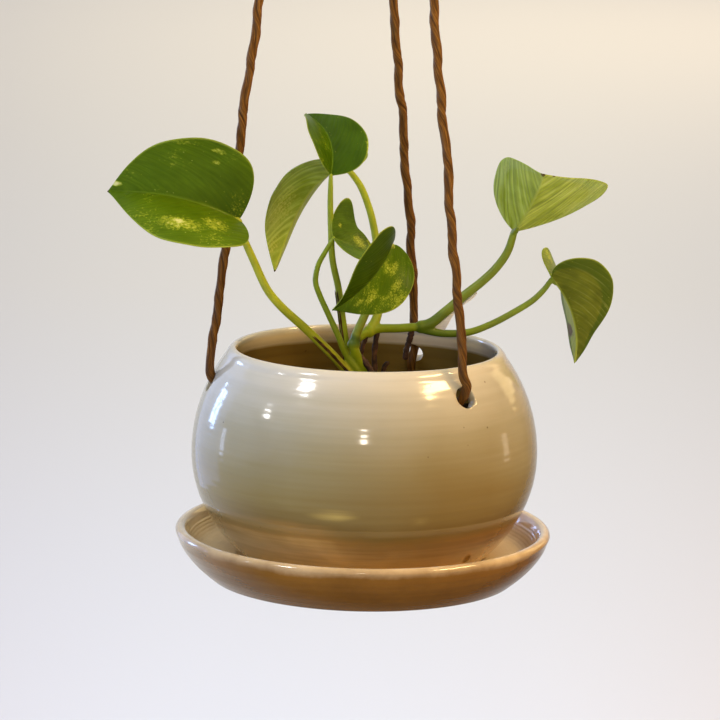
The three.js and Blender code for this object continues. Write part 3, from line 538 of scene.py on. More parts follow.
# painted shade: the grooves between the strands are darkened nearly to black
depth = add(tree, "MapRange", {"Value": groove, "From Max": 0.5, "To Min": 0.3})
fibre_colour = add(tree, "Mix", {0: depth, "A": "#241303", "B": toned}, data_type="RGBA")
# painted shade: the cord is darker low down, by its hole
height = add(tree, "SeparateXYZ", {0: add(tree, "TexCoord").outputs["Object"]}).outputs["Z"]
painted_low_shade = add(tree, "MapRange", {"Value": height, "From Min": (POT_AT[2] + SHADED_LOW[0]) / 1000,
                              "From Max": (POT_AT[2] + SHADED_LOW[1]) / 1000, "To Min": 0.35, "To Max": 0.0})
fibre_colour = add(tree, "Mix", {0: painted_low_shade, "A": fibre_colour, "B": "#2a1803"}, data_type="RGBA")
feed(shader, {"Base Color": fibre_colour, "Roughness": 0.5, "Specular IOR Level": 0.25,
              "Normal": add(tree, "Bump", {"Height": fibres, "Strength": 0.5, "Distance": 0.0004})})


def wander(along, rng, reach):
    """A smooth random value of about -1 to 1 for each place along a line, with waves of about reach mm."""
    waves = [np.sin(2 * np.pi * (along / (reach * share) + rng.random())) for share in (0.8, 1.1, 1.7, 2.9)]
    return np.sum(waves, 0) / 2.2


def laid(line, rng, size=1.0):
    """A laid cord round a line: rounded strands of unequal size, swollen and twisted unevenly along it."""
    along = lengths_along(line)
    angle = np.arange(CORD_SIDES) / CORD_SIDES
    section = 1 - GROOVE + GROOVE * np.abs(np.sin(STRANDS * np.pi * angle)) ** 0.6
    section = section * (1 + 0.045 * np.cos(2 * np.pi * angle)) + 0.02 * np.sin(2 * np.pi * 10 * angle)
    swell = 1 + 0.055 * wander(along, rng, 11)
    turns = -along / LAY_LENGTH + 0.11 * wander(along, rng, 26)
    return sweep(line, CORD_DIAMETER / 2 * 1.02 * size * section * swell[:, None], CORD_SIDES, turns)


def around(radius, degrees, height):
    """A place from its distance from the pot's axis, its bearing and its height."""
    return (radius * math.cos(math.radians(degrees)), radius * math.sin(math.radians(degrees)), height)


cord_tops = []
for number, (side, (degrees, hole_radius, hole_height)) in enumerate(CORD_HOLES.items()):
    through = [around(hole_radius + out, degrees, hole_height + rise) for out, rise in THROUGH_HOLE]
    meeting = around(CORDS_APART, degrees, 0)
    top = [(meeting[0] + TOP_OFFSET, meeting[1], KNOT_BOTTOM - GAP - lower) for lower in (4, 0)]
    cord_tops.append(top[-1])
    line = curve([around(TAIL_RADIUS, degrees, -TAIL_DROP), *through, *CORD_LINES[side], *top], CORD_POINTS)
    rng = np.random.default_rng(40 + number)
    free = np.clip((line[:, 2] - 4) / 14, 0, 1) * np.clip((KNOT_BOTTOM - 12 - line[:, 2]) / 20, 0, 1)
    for axis in (0, 1):
        line[:, axis] += KINK * free * wander(line[:, 2], rng, KINK_REACH)
    made = piece(f"twisted_cord_{side}", laid(line, rng), [cord_fibre], [f"cord_{side}"])

# Hanging knot: the cords are gathered under four and a half tight wraps of the same cord, whose end is then
# doubled into the loop. The same fibre shows, wound round instead of along.
KNOT_HEIGHT, WRAP_RADIUS, WRAPS, WRAP_INSET = 24, 4.9, 4.5, 2.2
CORE_RADIUS, CORE_POINTS, CORE_SIDES = 3.4, 12, 24
LOOP_SIDE, LOOP_CROWN = [(2.8, -6), (3.4, 2), (7.4, 8), (9.9, 14), (7.1, 20.5)], 24.1
ENDS_RISE = 8  # mm that the cords' ends go on up inside the wraps


def joined(parts):
    """Several (vertices, faces, uv) as one."""
    vertices, faces, uv = [], [], []
    for part_vertices, part_faces, part_uv in parts:
        faces.extend(tuple(i + len(vertices) for i in face) for face in part_faces)
        vertices.extend(part_vertices)
        uv.extend(part_uv)
    return vertices, faces, uv

knot_top = KNOT_BOTTOM + KNOT_HEIGHT
wrap_share = np.linspace(0, 1, 300)
wrap_angle = 2 * np.pi * WRAPS * wrap_share
wrap_line = np.stack([TOP_OFFSET + WRAP_RADIUS * np.cos(wrap_angle), WRAP_RADIUS * np.sin(wrap_angle),
                      KNOT_BOTTOM + WRAP_INSET + (KNOT_HEIGHT - 2 * WRAP_INSET) * wrap_share], 1)
loop_line = [(-x, z) for x, z in LOOP_SIDE] + [(0, LOOP_CROWN)] + LOOP_SIDE[::-1]
loop_line = curve([(TOP_OFFSET + x, 0, knot_top + z) for x, z in loop_line], 90)
core_line = [(TOP_OFFSET, 0, z) for z in np.linspace(KNOT_BOTTOM + 1, knot_top - 1, CORE_POINTS)]
end_heights = KNOT_BOTTOM - GAP / 3 + np.linspace(0, ENDS_RISE, CORE_POINTS)
rng = np.random.default_rng(50)
knot = joined([
    laid(wrap_line, rng, 0.96),
    laid(loop_line, rng),
    sweep(core_line, np.full((CORE_POINTS, CORE_SIDES), CORE_RADIUS), CORE_SIDES),
    *[laid(np.array([(x, y, z) for z in end_heights]), rng, 0.97) for x, y, _ in cord_tops],
])
piece("gathering_knot", knot, [cord_fibre], ["hanging_knot"])
for side in CORD_HOLES:  # out of sight in the soil
    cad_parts[f"stop_knot_{side}"].data.materials.clear()
    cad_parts[f"stop_knot_{side}"].data.materials.append(cord_fibre)

# Soil: a moist dark mix of peat and bark. Its surface is crumbly and holds clods and chips of all sizes.
SOIL_LUMP, SOIL_GRAIN = 1.1, 0.28  # mm, heights of the surface's lumps and grains
SOIL_REACH, SOIL_SIDES, SOIL_RINGS = 72, 140, 60
CLODS, CLOD_REACH = 420, 70
CLOD_RINGS = ((0, 0.9, 0.45), (0.5, 0.95, -0.4))  # turn, radius and height of a clod's two rings of six corners
CRUMB_SIZE, CHIP_SIZE = 1.66667, 2.63158  # mm
soil_floor = -POT_HEIGHT + POT_FLOOR + GAP
rng = np.random.default_rng(60)


def soil_height(x, y):
    """The height of the soil's uneven surface."""
    lump = np.sin(0.31 * x + 0.8) * np.cos(0.27 * y) + 0.5 * np.sin(0.7 * x - 0.5 * y) * np.cos(0.6 * y + 1)
    grain = np.sin(2.1 * x + 1.3 * y) * np.sin(1.7 * y - 0.6 * x)
    grain = grain + 0.7 * np.sin(3.9 * x + 2 * np.sin(y)) * np.cos(3.3 * y)
    return -SOIL_DROP + SOIL_LUMP * lump + SOIL_GRAIN * grain


soil_side = np.linspace(soil_floor, -SOIL_DROP, 20)
soil_radius = pot_radius(soil_side, POT_RADIUS - POT_WALL) - GAP - 0.2
soil_profile = [(0, soil_floor)] + list(zip(soil_radius, soil_side))
soil_profile += [(r, -SOIL_DROP) for r in np.linspace(SOIL_REACH, 1, SOIL_RINGS)] + [(0, -SOIL_DROP)]
soil_vertices, soil_faces, soil_uv = turned(soil_profile, SOIL_SIDES)
soil_vertices = np.array(soil_vertices)
from_axis = np.hypot(soil_vertices[:, 0], soil_vertices[:, 1])
top = (soil_vertices[:, 2] > -SOIL_DROP - 0.01) & (from_axis < SOIL_REACH + 0.1)
soil_vertices[top, 2] = soil_height(soil_vertices[top, 0], soil_vertices[top, 1])
corners = [(math.cos(angle + turn) * radius, math.sin(angle + turn) * radius, height)
           for turn, radius, height in CLOD_RINGS for angle in np.arange(6) * math.pi / 3]
corners = [(0, 0, 1), *corners, (0, 0, -1)]
clod_faces = [(0, 1 + i, 1 + (i + 1) % 6) for i in range(6)]
clod_faces += [(1 + i, 7 + i, 7 + (i + 1) % 6, 1 + (i + 1) % 6) for i in range(6)]
clod_faces += [(13, 7 + (i + 1) % 6, 7 + i) for i in range(6)]
clod_uv = [(0.5, 0.5)] * sum(len(face) for face in clod_faces)
clods = []
for _ in range(CLODS):
    reach, turn = CLOD_REACH * math.sqrt(rng.random()), 2 * math.pi * rng.random()
    x, y = reach * math.cos(turn), reach * math.sin(turn)
    size = 0.5 + 1.6 * rng.random() ** 3
    squash = Vector(rng.uniform(0.5, 1.3, 3) * size)
    spin = Matrix.Rotation(rng.uniform(0, 6.28), 3, Vector(rng.standard_normal(3)).normalized())
    middle = (x, y, soil_height(x, y) + 0.2 * size)
    points = [np.array(spin @ (Vector(p) * squash * float(rng.uniform(0.8, 1.15)))) + middle for p in corners]
    clods.append((points, clod_faces, clod_uv))

# Moist peat and bark: dull and almost black, with fine crumbs and some lighter brown chips
earth, tree, shader = material("moist_potting_mix")
where = add(tree, "TexCoord").outputs["Object"]
crumbs = add(tree, "TexNoise", {"Vector": where, "Scale": 1000 / CRUMB_SIZE, "Detail": 6.0, "Roughness": 0.7})
chips = add(tree, "TexVoronoi", {"Vector": where, "Scale": 1000 / CHIP_SIZE}).outputs["Color"]
chip = add(tree, "SeparateXYZ", {0: chips})
chip = add(tree, "MapRange", {"Value": chip, "From Min": 0.8, "From Max": 1.0, "To Max": 0.6})
soil_colour = add(tree, "ValToRGB", {0: crumbs}, [(0.3, "#17100a"), (0.55, "#2e2116"), (0.8, "#4c3826")])
soil_colour = add(tree, "Mix", {0: chip, "A": soil_colour, "B": "#6b4c30"}, data_type="RGBA")
feed(shader, {"Base Color": soil_colour, "Roughness": 0.95, "Specular IOR Level": 0.2,
              "Normal": add(tree, "Bump", {"Height": crumbs, "Strength": 0.9, "Distance": 0.0012})})
soil = joined([(list(soil_vertices), soil_faces, soil_uv), *clods])
piece("potting_soil", soil, [earth], ["soil"])

# Leaf blades: heart-shaped, thin and leathery, folded along the midrib. The upper face is waxy green with
# yellow-green flecks and streaks that run along the veins; the under face is paler, duller and ribbed. Painted
# shade deepens the green round the stalk's join, between the under face's veins, on a folded half and on a
# curled margin, and painted light brightens one half of a blade's under face.
LEAF_THICKNESS = 0.55
MARGIN_WAVE, WAVE_LENGTH = 0.35, 19  # mm, height and length of the waves along a blade's margin
BLADE = 60  # mm: patterns grow with the blade, and the sizes below are those on a blade of this length
VEIN_SPACING = 5.1 / BLADE
BROAD, STREAK, UNDER_STREAK = 12, 4.61538, 3  # mm, broad tones, and streaks along the veins of either face
SPECKLE, FLECK, DOT = 1.5, 0.967742, 1.76471  # mm
LEAVES = {  # the same sizes as in the part's source: lengths in mm and angles in degrees
    "a": dict(at=(-59, -20, 61), length=64, left=0.46, right=0.5, lobe=(0.075, 0.02), widest=0.38,
              fold=(40, 26), curl=(-14, 23), droop=64, bend=1, heading=-117, pitch=27, roll=-64, twist=25),
    "b": dict(at=(-18, 0, 79.5), length=52, left=0.31, right=0.34, lobe=(0, 0), widest=0.33, fold=(28, 37),
              curl=(0, 0), droop=43, bend=-34, heading=11, pitch=41, roll=32, twist=23),
    "c": dict(at=(-11, 22, 79.5), length=73, left=0.4, right=0.37, lobe=(0.03, 0.03), widest=0.41,
              fold=(14, 38), curl=(-68, 27), droop=111, bend=31, heading=-37, pitch=-5, roll=26, twist=7,
              wave=0.12),
    "d": dict(at=(-16, -2, 51), length=37, left=0.59, right=0.36, lobe=(0.06, 0.06), widest=0.24,
              fold=(19, 11), curl=(26, -2), droop=0, bend=3, heading=43, pitch=-22, roll=45, twist=27,
              nip=(-1, 0.5, 0.34, 0.19)),
    "e": dict(at=(10.5, -6, 48.5), length=44, left=0.42, right=0.48, lobe=(0.08, 0.08), widest=0.37,
              fold=(23, 26), curl=(22, -22), droop=52, bend=-4, heading=-160, pitch=-42, roll=-86, twist=-8),
    "f": dict(at=(67.5, 20, 52.5), length=69, left=0.57, right=0.36, lobe=(0.02, 0.02), widest=0.4,
              fold=(23, 43), curl=(1, 15), droop=8, bend=12, heading=163, pitch=33, roll=-11, twist=4,
              wave=0.15),
    "g": dict(at=(86, 22, 30.5), length=54, left=0.5, right=0.44, lobe=(0.14, 0.14), widest=0.34,
              fold=(52, 23), curl=(4, 29), droop=30, bend=-31, heading=50, pitch=-42, roll=-10, twist=25,
              nip=(1, 0.76, 0.22, 0.13)),
}
LEAF_LOOKS = {
    # upper, under: the dark and the light green of each face; flecked: how much of the left and the right half;
    # streaked: how plainly the under face is, and how much painted shade lies between its veins; join_shade:
    # how much painted shade deepens the green round the stalk's join, left and right; margin_band_and_shade:
    # the under face's band along its margin, on g a painted shadow where the margin curls over, how strong,
    # where it starts and its colour; half_light_and_shade: how much painted shade (on e) and painted light (on
    # g) the left and the
    # right half get, and its colour. In shares of the blade's length across, along, half width and half length:
    # patches of yellow, with how bright they are, and brown spots.
    "a": dict(upper=("#3e5502", "#607b0e"), under=("#6d770b", "#959721"), flecked=(0.5, 0.45), streaked=0.4,
              seed=11, join_shade=(0.1, 0.65), margin_band_and_shade=None, half_light_and_shade=None, patches=[(-0.25, 0.43, 0.035, 0.07, 0.5),
              (-0.27, 0.42, 0.09, 0.2, 0.34), (-0.2, 0.2, 0.1, 0.13, 0.3), (0.06, 0.915, 0.022, 0.05, 0.6),
              (0.42, 0.31, 0.03, 0.05, 0.36), (0.33, 0.3, 0.025, 0.03, 0.35), (0.44, 0.5, 0.03, 0.12, 0.24)],
              spots=[(0, 0.995, 0.02, 0.015)]),
    "b": dict(upper=("#2d4500", "#496604"), under=("#68770e", "#8b9129"), flecked=(0.5, 0.32), streaked=0.4,
              seed=12, join_shade=(0.3, 0.3), margin_band_and_shade=None, half_light_and_shade=None, patches=[(-0.12, 0.5, 0.05, 0.4, 0.2),
              (0.34, 0.25, 0.035, 0.13, 0.34), (0.16, 0.8, 0.04, 0.05, 0.3)], spots=[]),
    "c": dict(upper=("#3e5a09", "#597507"), under=("#829622", "#a8bc52"), flecked=(0.3, 0.3), streaked=1.0,
              seed=13, join_shade=(0.2, 0.2), margin_band_and_shade=(0.25, 0.72, "#a2b65c"), half_light_and_shade=None,
              patches=[(-0.15, 0.6, 0.14, 0.25, 0.3), (-0.08, 0.85, 0.06, 0.14, 0.3)],
              spots=[(0, 0.995, 0.015, 0.012)]),
    "d": dict(upper=("#2f4306", "#5f7c1a"), under=("#6d770b", "#959721"), flecked=(0.25, 0.2), streaked=0.4,
              seed=14, join_shade=(0.2, 0.2), margin_band_and_shade=None, half_light_and_shade=None, patches=[(-0.2, 0.12, 0.04, 0.05, 0.36),
              (-0.12, 0.52, 0.12, 0.2, 0.33), (-0.2, 0.75, 0.1, 0.06, 0.28)], spots=[]),
    "e": dict(upper=("#304700", "#597309"), under=("#495c07", "#7c881a"), flecked=(0.64, 0.05), streaked=0.4,
              seed=15, join_shade=(0.2, 0.5), margin_band_and_shade=None, half_light_and_shade=(0, 0.6, "#233400"),
              patches=[(-0.14, 0.2, 0.06, 0.14, 0.3), (-0.26, 0.32, 0.07, 0.12, 0.3),
              (-0.14, 0.6, 0.05, 0.14, 0.32), (-0.09, 0.72, 0.04, 0.1, 0.3)], spots=[]),
    "f": dict(upper=("#3e5c09", "#5c7c18"), under=("#8f9e10", "#bcc846"), flecked=(0.4, 0.4), streaked=1.0,
              seed=16, join_shade=(0.2, 0.2), margin_band_and_shade=(0.45, 0.72, "#aabb5e"), half_light_and_shade=None,
              patches=[(-0.31, 0.6, 0.1, 0.12, 0.3), (-0.35, 0.2, 0.05, 0.2, 0.3),
              (0.3, 0.5, 0.05, 0.2, 0.3)], spots=[(0.01, 0.985, 0.022, 0.03), (-0.09, 0.93, 0.02, 0.014)]),
    # g's darker under greens are painted shade
    "g": dict(upper=("#566a08", "#80921e"), under=("#4b5400", "#757b12"), flecked=(0.3, 0.1), streaked=0.3,
              seed=17, join_shade=(0.2, 0.2), margin_band_and_shade=(0.75, 0.66, "#405600"), half_light_and_shade=(0.75, 0, "#98a648"),
              patches=[(-0.3, 0.02, 0.1, 0.12, 0.3)], spots=[(-0.17, 0.7, 0.1, 0.075)]),
}


def outline(leaf, side, half, t):
    """Half the blade's outline, as shares of its length: two Bezier curves that meet at the widest point."""
    lobe, widest = leaf["lobe"][0 if side < 0 else 1], leaf["widest"]
    rest = 1 - widest
    base = np.array([(0, 0), (0.12 * half, -1.55 * lobe), (half, -1.25 * lobe), (half, widest)])
    tip = np.array([(half, widest), (half, widest + 0.42 * rest), (0.3 * half, 1 - 0.3 * rest), (0, 1)])
    points = []
    for at in t:
        s, ends = (2 * at, base) if at < 0.5 else (2 * at - 1, tip)
        points.append((1 - s) ** 3 * ends[0] + 3 * s * (1 - s) ** 2 * ends[1]
                      + 3 * s**2 * (1 - s) * ends[2] + s**3 * ends[3])
    return np.array(points)


def arc(rate, s):
    """How far an arc of length s goes along and aside."""
    if abs(rate) < 1e-6:
        return s, s * 0
    return np.sin(rate * s) / rate, (1 - np.cos(rate * s)) / rate


def blade(leaf, side, t, u):
    """Points of one half of a blade, and their flat places across and along it in mm."""
    length = leaf["length"]
    half = leaf["left"] if side < 0 else leaf["right"]
    nipped_side, place_of_nip, depth, reach = leaf.get("nip", (0, 0, 0, 1))
    fold, curl = (math.radians(leaf[what][0 if side < 0 else 1]) for what in ("fold", "curl"))
    edge = outline(leaf, side, half, t)
    if side == nipped_side:
        edge[:, 0] *= 1 - depth * np.exp(-((edge[:, 1] - place_of_nip) / reach) ** 2)
    across = np.outer(edge[:, 0] * length, u)
    along = length * (np.outer(t**1.6, 1 - u) + np.outer(edge[:, 1], u))
    share = np.clip(along / length, 0, 1)
    out, lift = arc(curl / (0.36 * length), across)
    out, lift = math.cos(fold) * out - math.sin(fold) * lift, math.sin(fold) * out + math.cos(fold) * lift
    twist = math.radians(leaf["twist"]) * share
    sideways = side * out * np.cos(twist) - lift * np.sin(twist)
    upward = side * out * np.sin(twist) + lift * np.cos(twist)
    droop, bend = math.radians(leaf["droop"]), math.radians(leaf["bend"])
    both, apart = arc(droop + bend, share), arc(droop - bend, share)
    rib_x = length * (both[1] + arc(bend - droop, share)[1]) / 2
    rib_y = np.where(along < 0, along, length * (both[0] + apart[0]) / 2)
    rib_z = -length * arc(droop, share)[1]
    tilt = droop * share
    points = np.stack([rib_x + sideways, rib_y + upward * np.sin(tilt), rib_z + upward * np.cos(tilt)], -1)
    heading, pitch, roll = (math.radians(leaf[what]) for what in ("heading", "pitch", "roll"))
    flat = math.cos(pitch)
    forward = np.array((flat * math.sin(heading), flat * math.cos(heading), math.sin(pitch)))
    level = np.array((math.cos(heading), -math.sin(heading), 0))
    right = level * math.cos(roll) - np.cross(level, forward) * math.sin(roll)
    return points @ np.array((right, forward, np.cross(right, forward))) + leaf["at"], side * across, along


def veins(across, along):
    """Which vein a place is on: the side veins leave the midrib and sweep towards the tip."""
    a = np.abs(across)
    return along - 0.9 * a - 1.4 * a**2


def leaf_mesh(leaf, rows=72, columns=20):
    """A blade: vertices, faces, uv, each face's slot (0 upper, 1 under), three points along the rib under it
    near the stalk, and each vertex's place between the midrib (0) and the margin (1)."""
    t = np.linspace(0, 1, rows + 1)
    u = np.r_[np.linspace(0, 0.94, columns - 2), 0.97, 0.99, 1]
    columns = len(u) - 1
    left, right = blade(leaf, -1, t, u), blade(leaf, 1, t, u)
    middle = [np.concatenate([l[:, :0:-1], r], 1) for l, r in zip(left, right)]
    points, across, along = middle
    x, y = across / leaf["length"], along / leaf["length"]
    normal = np.cross(np.gradient(points, axis=1), np.gradient(points, axis=0))
    normal /= np.linalg.norm(normal, axis=2)[:, :, None] + 1e-9
    normal[0], normal[-1] = normal[1, columns], normal[-2, columns]
    edge = np.abs(np.r_[-u[:0:-1], u])
    thick = LEAF_THICKNESS / 2 * np.sqrt(np.clip(1 - ((edge - 0.93).clip(0) / 0.071) ** 2, 0.04, 1))
    room = 1 - np.abs(np.linspace(-1, 1, rows + 1)) ** 8
    pillow = 0.035 * np.cos(2 * np.pi * veins(x, y) / VEIN_SPACING) * np.clip(np.abs(x) / 0.08, 0, 1)
    pillow = pillow * (1 - edge**6) * room[:, None]
    rib = np.exp(-(across / (0.35 + 0.8 * (1 - y))) ** 2) * (1 - y).clip(0) ** 0.7 * room[:, None]
    wave = np.sin(2 * np.pi * along / WAVE_LENGTH + leaf["length"] + 2 * np.sign(across))
    wave = leaf.get("wave", MARGIN_WAVE) * edge**2 * wave * room[:, None]
    top = points + normal * (thick + pillow + wave - 0.3 * rib)[:, :, None]
    under = points - normal * (thick - pillow - wave + 0.75 * rib)[:, :, None]
    width = 2 * columns + 1
    index = np.arange((rows + 1) * width).reshape(rows + 1, width)
    index[0], index[-1] = index[0, columns], index[-1, columns]
    count = index.size
    vertices = list(top.reshape(-1, 3)) + list(under.reshape(-1, 3))
    flat = np.stack([0.5 + x, y], -1).reshape(-1, 2)
    faces, uv, slots = [], [], []

    def put(corners, slot):
        kept = [c for i, c in enumerate(corners) if c not in corners[:i]]
        if len(kept) > 2:
            faces.append(tuple(kept))
            uv.extend(flat[c % count] for c in kept)
            slots.append(slot)

    for r in range(rows):
        for c in range(width - 1):
            quad = [int(index[r, c]), int(index[r, c + 1]), int(index[r + 1, c + 1]), int(index[r + 1, c])]
            put(quad, 0)
            put([q + count for q in quad[::-1]], 1)
        for c, order in ((0, 1), (width - 1, -1)):
            a, b = int(index[r, c]), int(index[r + 1, c])
            put([a, b, b + count, a + count][::order], 0)
    rib_line = [vertices[count + r * width + columns] for r in (6, 11, 16)]
    return vertices, faces, uv, slots, rib_line, np.tile(edge, 2 * (rows + 1))


def leaf_face(name, greens, look, is_top):
    """The skin of one face of a leaf. The uv holds the place on the flat blade as shares of its length."""
    made, tree, shader = material(name)
    flat = add(tree, "UVMap")
    across, along = add(tree, "SeparateXYZ", {0: flat}).outputs[:2]
    across = add(tree, "Math", {0: across, 1: 0.5}, operation="SUBTRACT")
    aside = add(tree, "Math", {0: across}, operation="ABSOLUTE")
    slope = add(tree, "Math", {0: aside, 1: 2.2, 2: 1.25}, operation="MULTIPLY_ADD")
    slope = add(tree, "Math", {0: aside, 1: slope}, operation="MULTIPLY")
    vein = add(tree, "Math", {0: along, 1: slope}, operation="SUBTRACT")
    side = add(tree, "Math", {0: across}, operation="SIGN")
    side = add(tree, "Math", {0: side, 1: look["seed"]}, operation="ADD")
    run = add(tree, "Math", {0: aside, 1: 0.9 if is_top else 0.3}, operation="MULTIPLY")
    along_veins = add(tree, "CombineXYZ", {0: vein, 1: run, 2: side})
    drift = add(tree, "TexNoise", {"Vector": along_veins, "Scale": BLADE / BROAD, "Detail": 1.0})
    beat = 2 * math.pi / VEIN_SPACING * (1 if is_top else 0.8)
    phase = add(tree, "Math", {0: vein, 1: beat}, operation="MULTIPLY")
    phase = add(tree, "Math", {0: drift, 1: 16.0, 2: phase}, operation="MULTIPLY_ADD")
    vein_wave = add(tree, "Math", {0: phase}, operation="COSINE")
    streak = STREAK if is_top else UNDER_STREAK
    mottle = add(tree, "TexNoise", {"Vector": along_veins, "Scale": BLADE / streak, "Detail": 5.0,
                                    "Roughness": 0.65})
    broad = add(tree, "TexNoise", {"Vector": flat, "Scale": BLADE / BROAD, "Detail": 3.0,
                                   "W": look["seed"] * 1.7}, noise_dimensions="4D")
    tone = add(tree, "Math", {0: mottle, 1: broad}, operation="ADD")
    contrast = 0.46 if is_top else 0.42 - 0.2 * look["streaked"]
    tone = add(tree, "MapRange", {"Value": tone, "From Min": 1 - contrast, "From Max": 1 + contrast})
    face = add(tree, "Mix", {0: tone, "A": greens[0], "B": greens[1]}, data_type="RGBA")

    margin = add(tree, "Attribute", attribute_name="margin").outputs["Fac"]
    if is_top:  # painted shade deepens the green round the place where the stalk joins
        from_stalk = add(tree, "VectorMath", {0: flat, 1: (0.5, 0, 0)}, operation="DISTANCE")
        join_shade = add(tree, "MapRange", {"Value": from_stalk, "From Min": 0.05, "From Max": 0.42, "To Min": 1.0,
                                      "To Max": 0.0}, interpolation_type="SMOOTHSTEP")
        left, right = look["join_shade"]
        half = add(tree, "MapRange", {"Value": across, "From Min": -0.02, "From Max": 0.02, "To Min": left,
                                      "To Max": right})
        join_shade = add(tree, "Math", {0: join_shade, 1: half}, operation="MULTIPLY")
        face = add(tree, "Mix", {0: join_shade, "A": face, "B": "#263c00"}, data_type="RGBA")
    # painted shade on one half of e's folded top, and painted light on one half of g's under face
    if look["half_light_and_shade"] and is_top == (look["margin_band_and_shade"] is None):
        left, right, half_light_and_shade = look["half_light_and_shade"]
        half = add(tree, "MapRange", {"Value": across, "From Min": -0.01, "From Max": 0.01, "To Min": left,
                                      "To Max": right})
        face = add(tree, "Mix", {0: half, "A": face, "B": half_light_and_shade}, data_type="RGBA")
    # a band along the under face's margin: paler on c and f, and on g a painted shadow where the margin curls
    # over
    if look["margin_band_and_shade"] and not is_top:
        strength, start, band = look["margin_band_and_shade"]
        margin_band_and_shade = add(tree, "MapRange", {"Value": margin, "From Min": start, "From Max": start + 0.08,
                                     "To Max": strength}, interpolation_type="SMOOTHSTEP")
        face = add(tree, "Mix", {0: margin_band_and_shade, "A": face, "B": band}, data_type="RGBA")
    shown = add(tree, "MapRange", {"Value": broad, "From Min": 0.4, "From Max": 0.6,
                                   "To Min": 0.1 if is_top else 0.05,
                                   "To Max": 0.45 if is_top else 0.65 * look["streaked"]})
    line = add(tree, "MapRange", {"Value": vein_wave, "From Min": -1.0, "From Max": -0.4 if is_top else -0.75,
                                  "To Min": 1.0, "To Max": 0.0}, interpolation_type="SMOOTHSTEP")
    line = add(tree, "Math", {0: line, 1: shown}, operation="MULTIPLY")
    worn_line = add(tree, "MapRange", {"Value": mottle, "From Min": 0.4, "From Max": 0.6, "To Min": 0.3})
    line = add(tree, "Math", {0: line, 1: worn_line}, operation="MULTIPLY")
    face = add(tree, "Mix", {0: line, "A": face, "B": "#2c4a00" if is_top else "#c2c86a"}, data_type="RGBA")
    if not is_top:
        # painted shade: darker bands between the under face's veins, where the blade pleats
        pleat_shade = add(tree, "MapRange", {"Value": vein_wave, "From Min": -0.4, "From Max": 1.0,
                                           "To Max": 0.7 * look["streaked"]})
        pleat_shade = add(tree, "Math", {0: pleat_shade, 1: drift}, operation="MULTIPLY")
        face = add(tree, "Mix", {0: pleat_shade, "A": face, "B": "#5f6e16"}, data_type="RGBA")

    left, right = look["flecked"]
    half = add(tree, "MapRange", {"Value": across, "From Min": -0.01, "From Max": 0.01, "To Min": 0.5 * left,
                                  "To Max": 0.5 * right})
    clusters = add(tree, "MapRange", {"Value": broad, "From Min": 0.4, "From Max": 0.7})
    clusters = add(tree, "Math", {0: clusters, 1: half}, operation="MULTIPLY")
    for patch_x, patch_y, half_width, half_length, bright in look["patches"]:
        offset = from_centre(tree, flat, (0.5 + patch_x, patch_y, 0), (half_width, half_length, 1))
        near = add(tree, "MapRange", {"Value": offset, "From Min": 0.2, "From Max": 1.5, "To Min": bright,
                                      "To Max": 0.0}, interpolation_type="SMOOTHSTEP")
        clusters = add(tree, "Math", {0: clusters, 1: near}, operation="MAXIMUM")
    fine = add(tree, "TexNoise", {"Vector": flat, "Scale": BLADE / FLECK, "Detail": 3.0,
                                  "W": look["seed"] * 2.3}, noise_dimensions="4D")
    speckle_space = add(tree, "VectorMath", {0: along_veins, 1: (1.0, 2.0, 1.0)}, operation="MULTIPLY")
    speckle = add(tree, "TexNoise", {"Vector": speckle_space, "Scale": BLADE / SPECKLE, "Detail": 4.0,
                                     "Roughness": 0.65})
    speckle = add(tree, "Mix", {0: 0.6, "A": speckle, "B": fine})
    speckle = add(tree, "Math", {0: speckle, 1: clusters}, operation="ADD")
    pale = add(tree, "MapRange", {"Value": speckle, "From Min": 0.7, "From Max": 0.9,
                                  "To Max": 0.9 if is_top else 0.6})
    cream = add(tree, "MapRange", {"Value": speckle, "From Min": 0.86, "From Max": 1.1})
    fleck = add(tree, "Mix", {0: cream, "A": "#a4ae2e" if is_top else "#bcc25a", "B": "#dcd88c"},
                data_type="RGBA")
    face = add(tree, "Mix", {0: pale, "A": face, "B": fleck}, data_type="RGBA")
    dots = add(tree, "TexVoronoi", {"Vector": flat, "Scale": BLADE / DOT})
    dot = add(tree, "MapRange", {"Value": dots.outputs["Distance"], "From Min": 0.06, "From Max": 0.2,
                                 "To Min": 0.55, "To Max": 0.0})
    chosen = add(tree, "SeparateXYZ", {0: dots.outputs["Color"]})
    chosen = add(tree, "Math", {0: chosen, 1: 0.11}, operation="LESS_THAN")
    dot = add(tree, "Math", {0: dot, 1: chosen}, operation="MULTIPLY")
    face = add(tree, "Mix", {0: dot, "A": face, "B": "#a9b24a"}, data_type="RGBA")
    rib = add(tree, "MapRange", {"Value": aside, "From Min": 0.003, "From Max": 0.012,
                                 "To Min": 0.3 if is_top else 0.7, "To Max": 0.0})
    face = add(tree, "Mix", {0: rib, "A": face, "B": "#6f8a1c" if is_top else "#a9b446"}, data_type="RGBA")
    rim_line = add(tree, "MapRange", {"Value": margin, "From Min": 0.965, "From Max": 0.99, "To Max": 0.55})
    face = add(tree, "Mix", {0: rim_line, "A": face, "B": "#a2ac3c"}, data_type="RGBA")
    for spot_x, spot_y, half_width, half_length in look["spots"]:
        offset = from_centre(tree, flat, (0.5 + spot_x, spot_y, 0), (half_width, half_length, 1))
        offset = add(tree, "Math", {0: speckle, 1: -1.6, 2: offset}, operation="MULTIPLY_ADD")
        dead = add(tree, "MapRange", {"Value": offset, "From Min": -0.2, "From Max": 0.1, "To Min": 0.9,
                                      "To Max": 0.0})
        face = add(tree, "Mix", {0: dead, "A": face, "B": "#4a3216"}, data_type="RGBA")
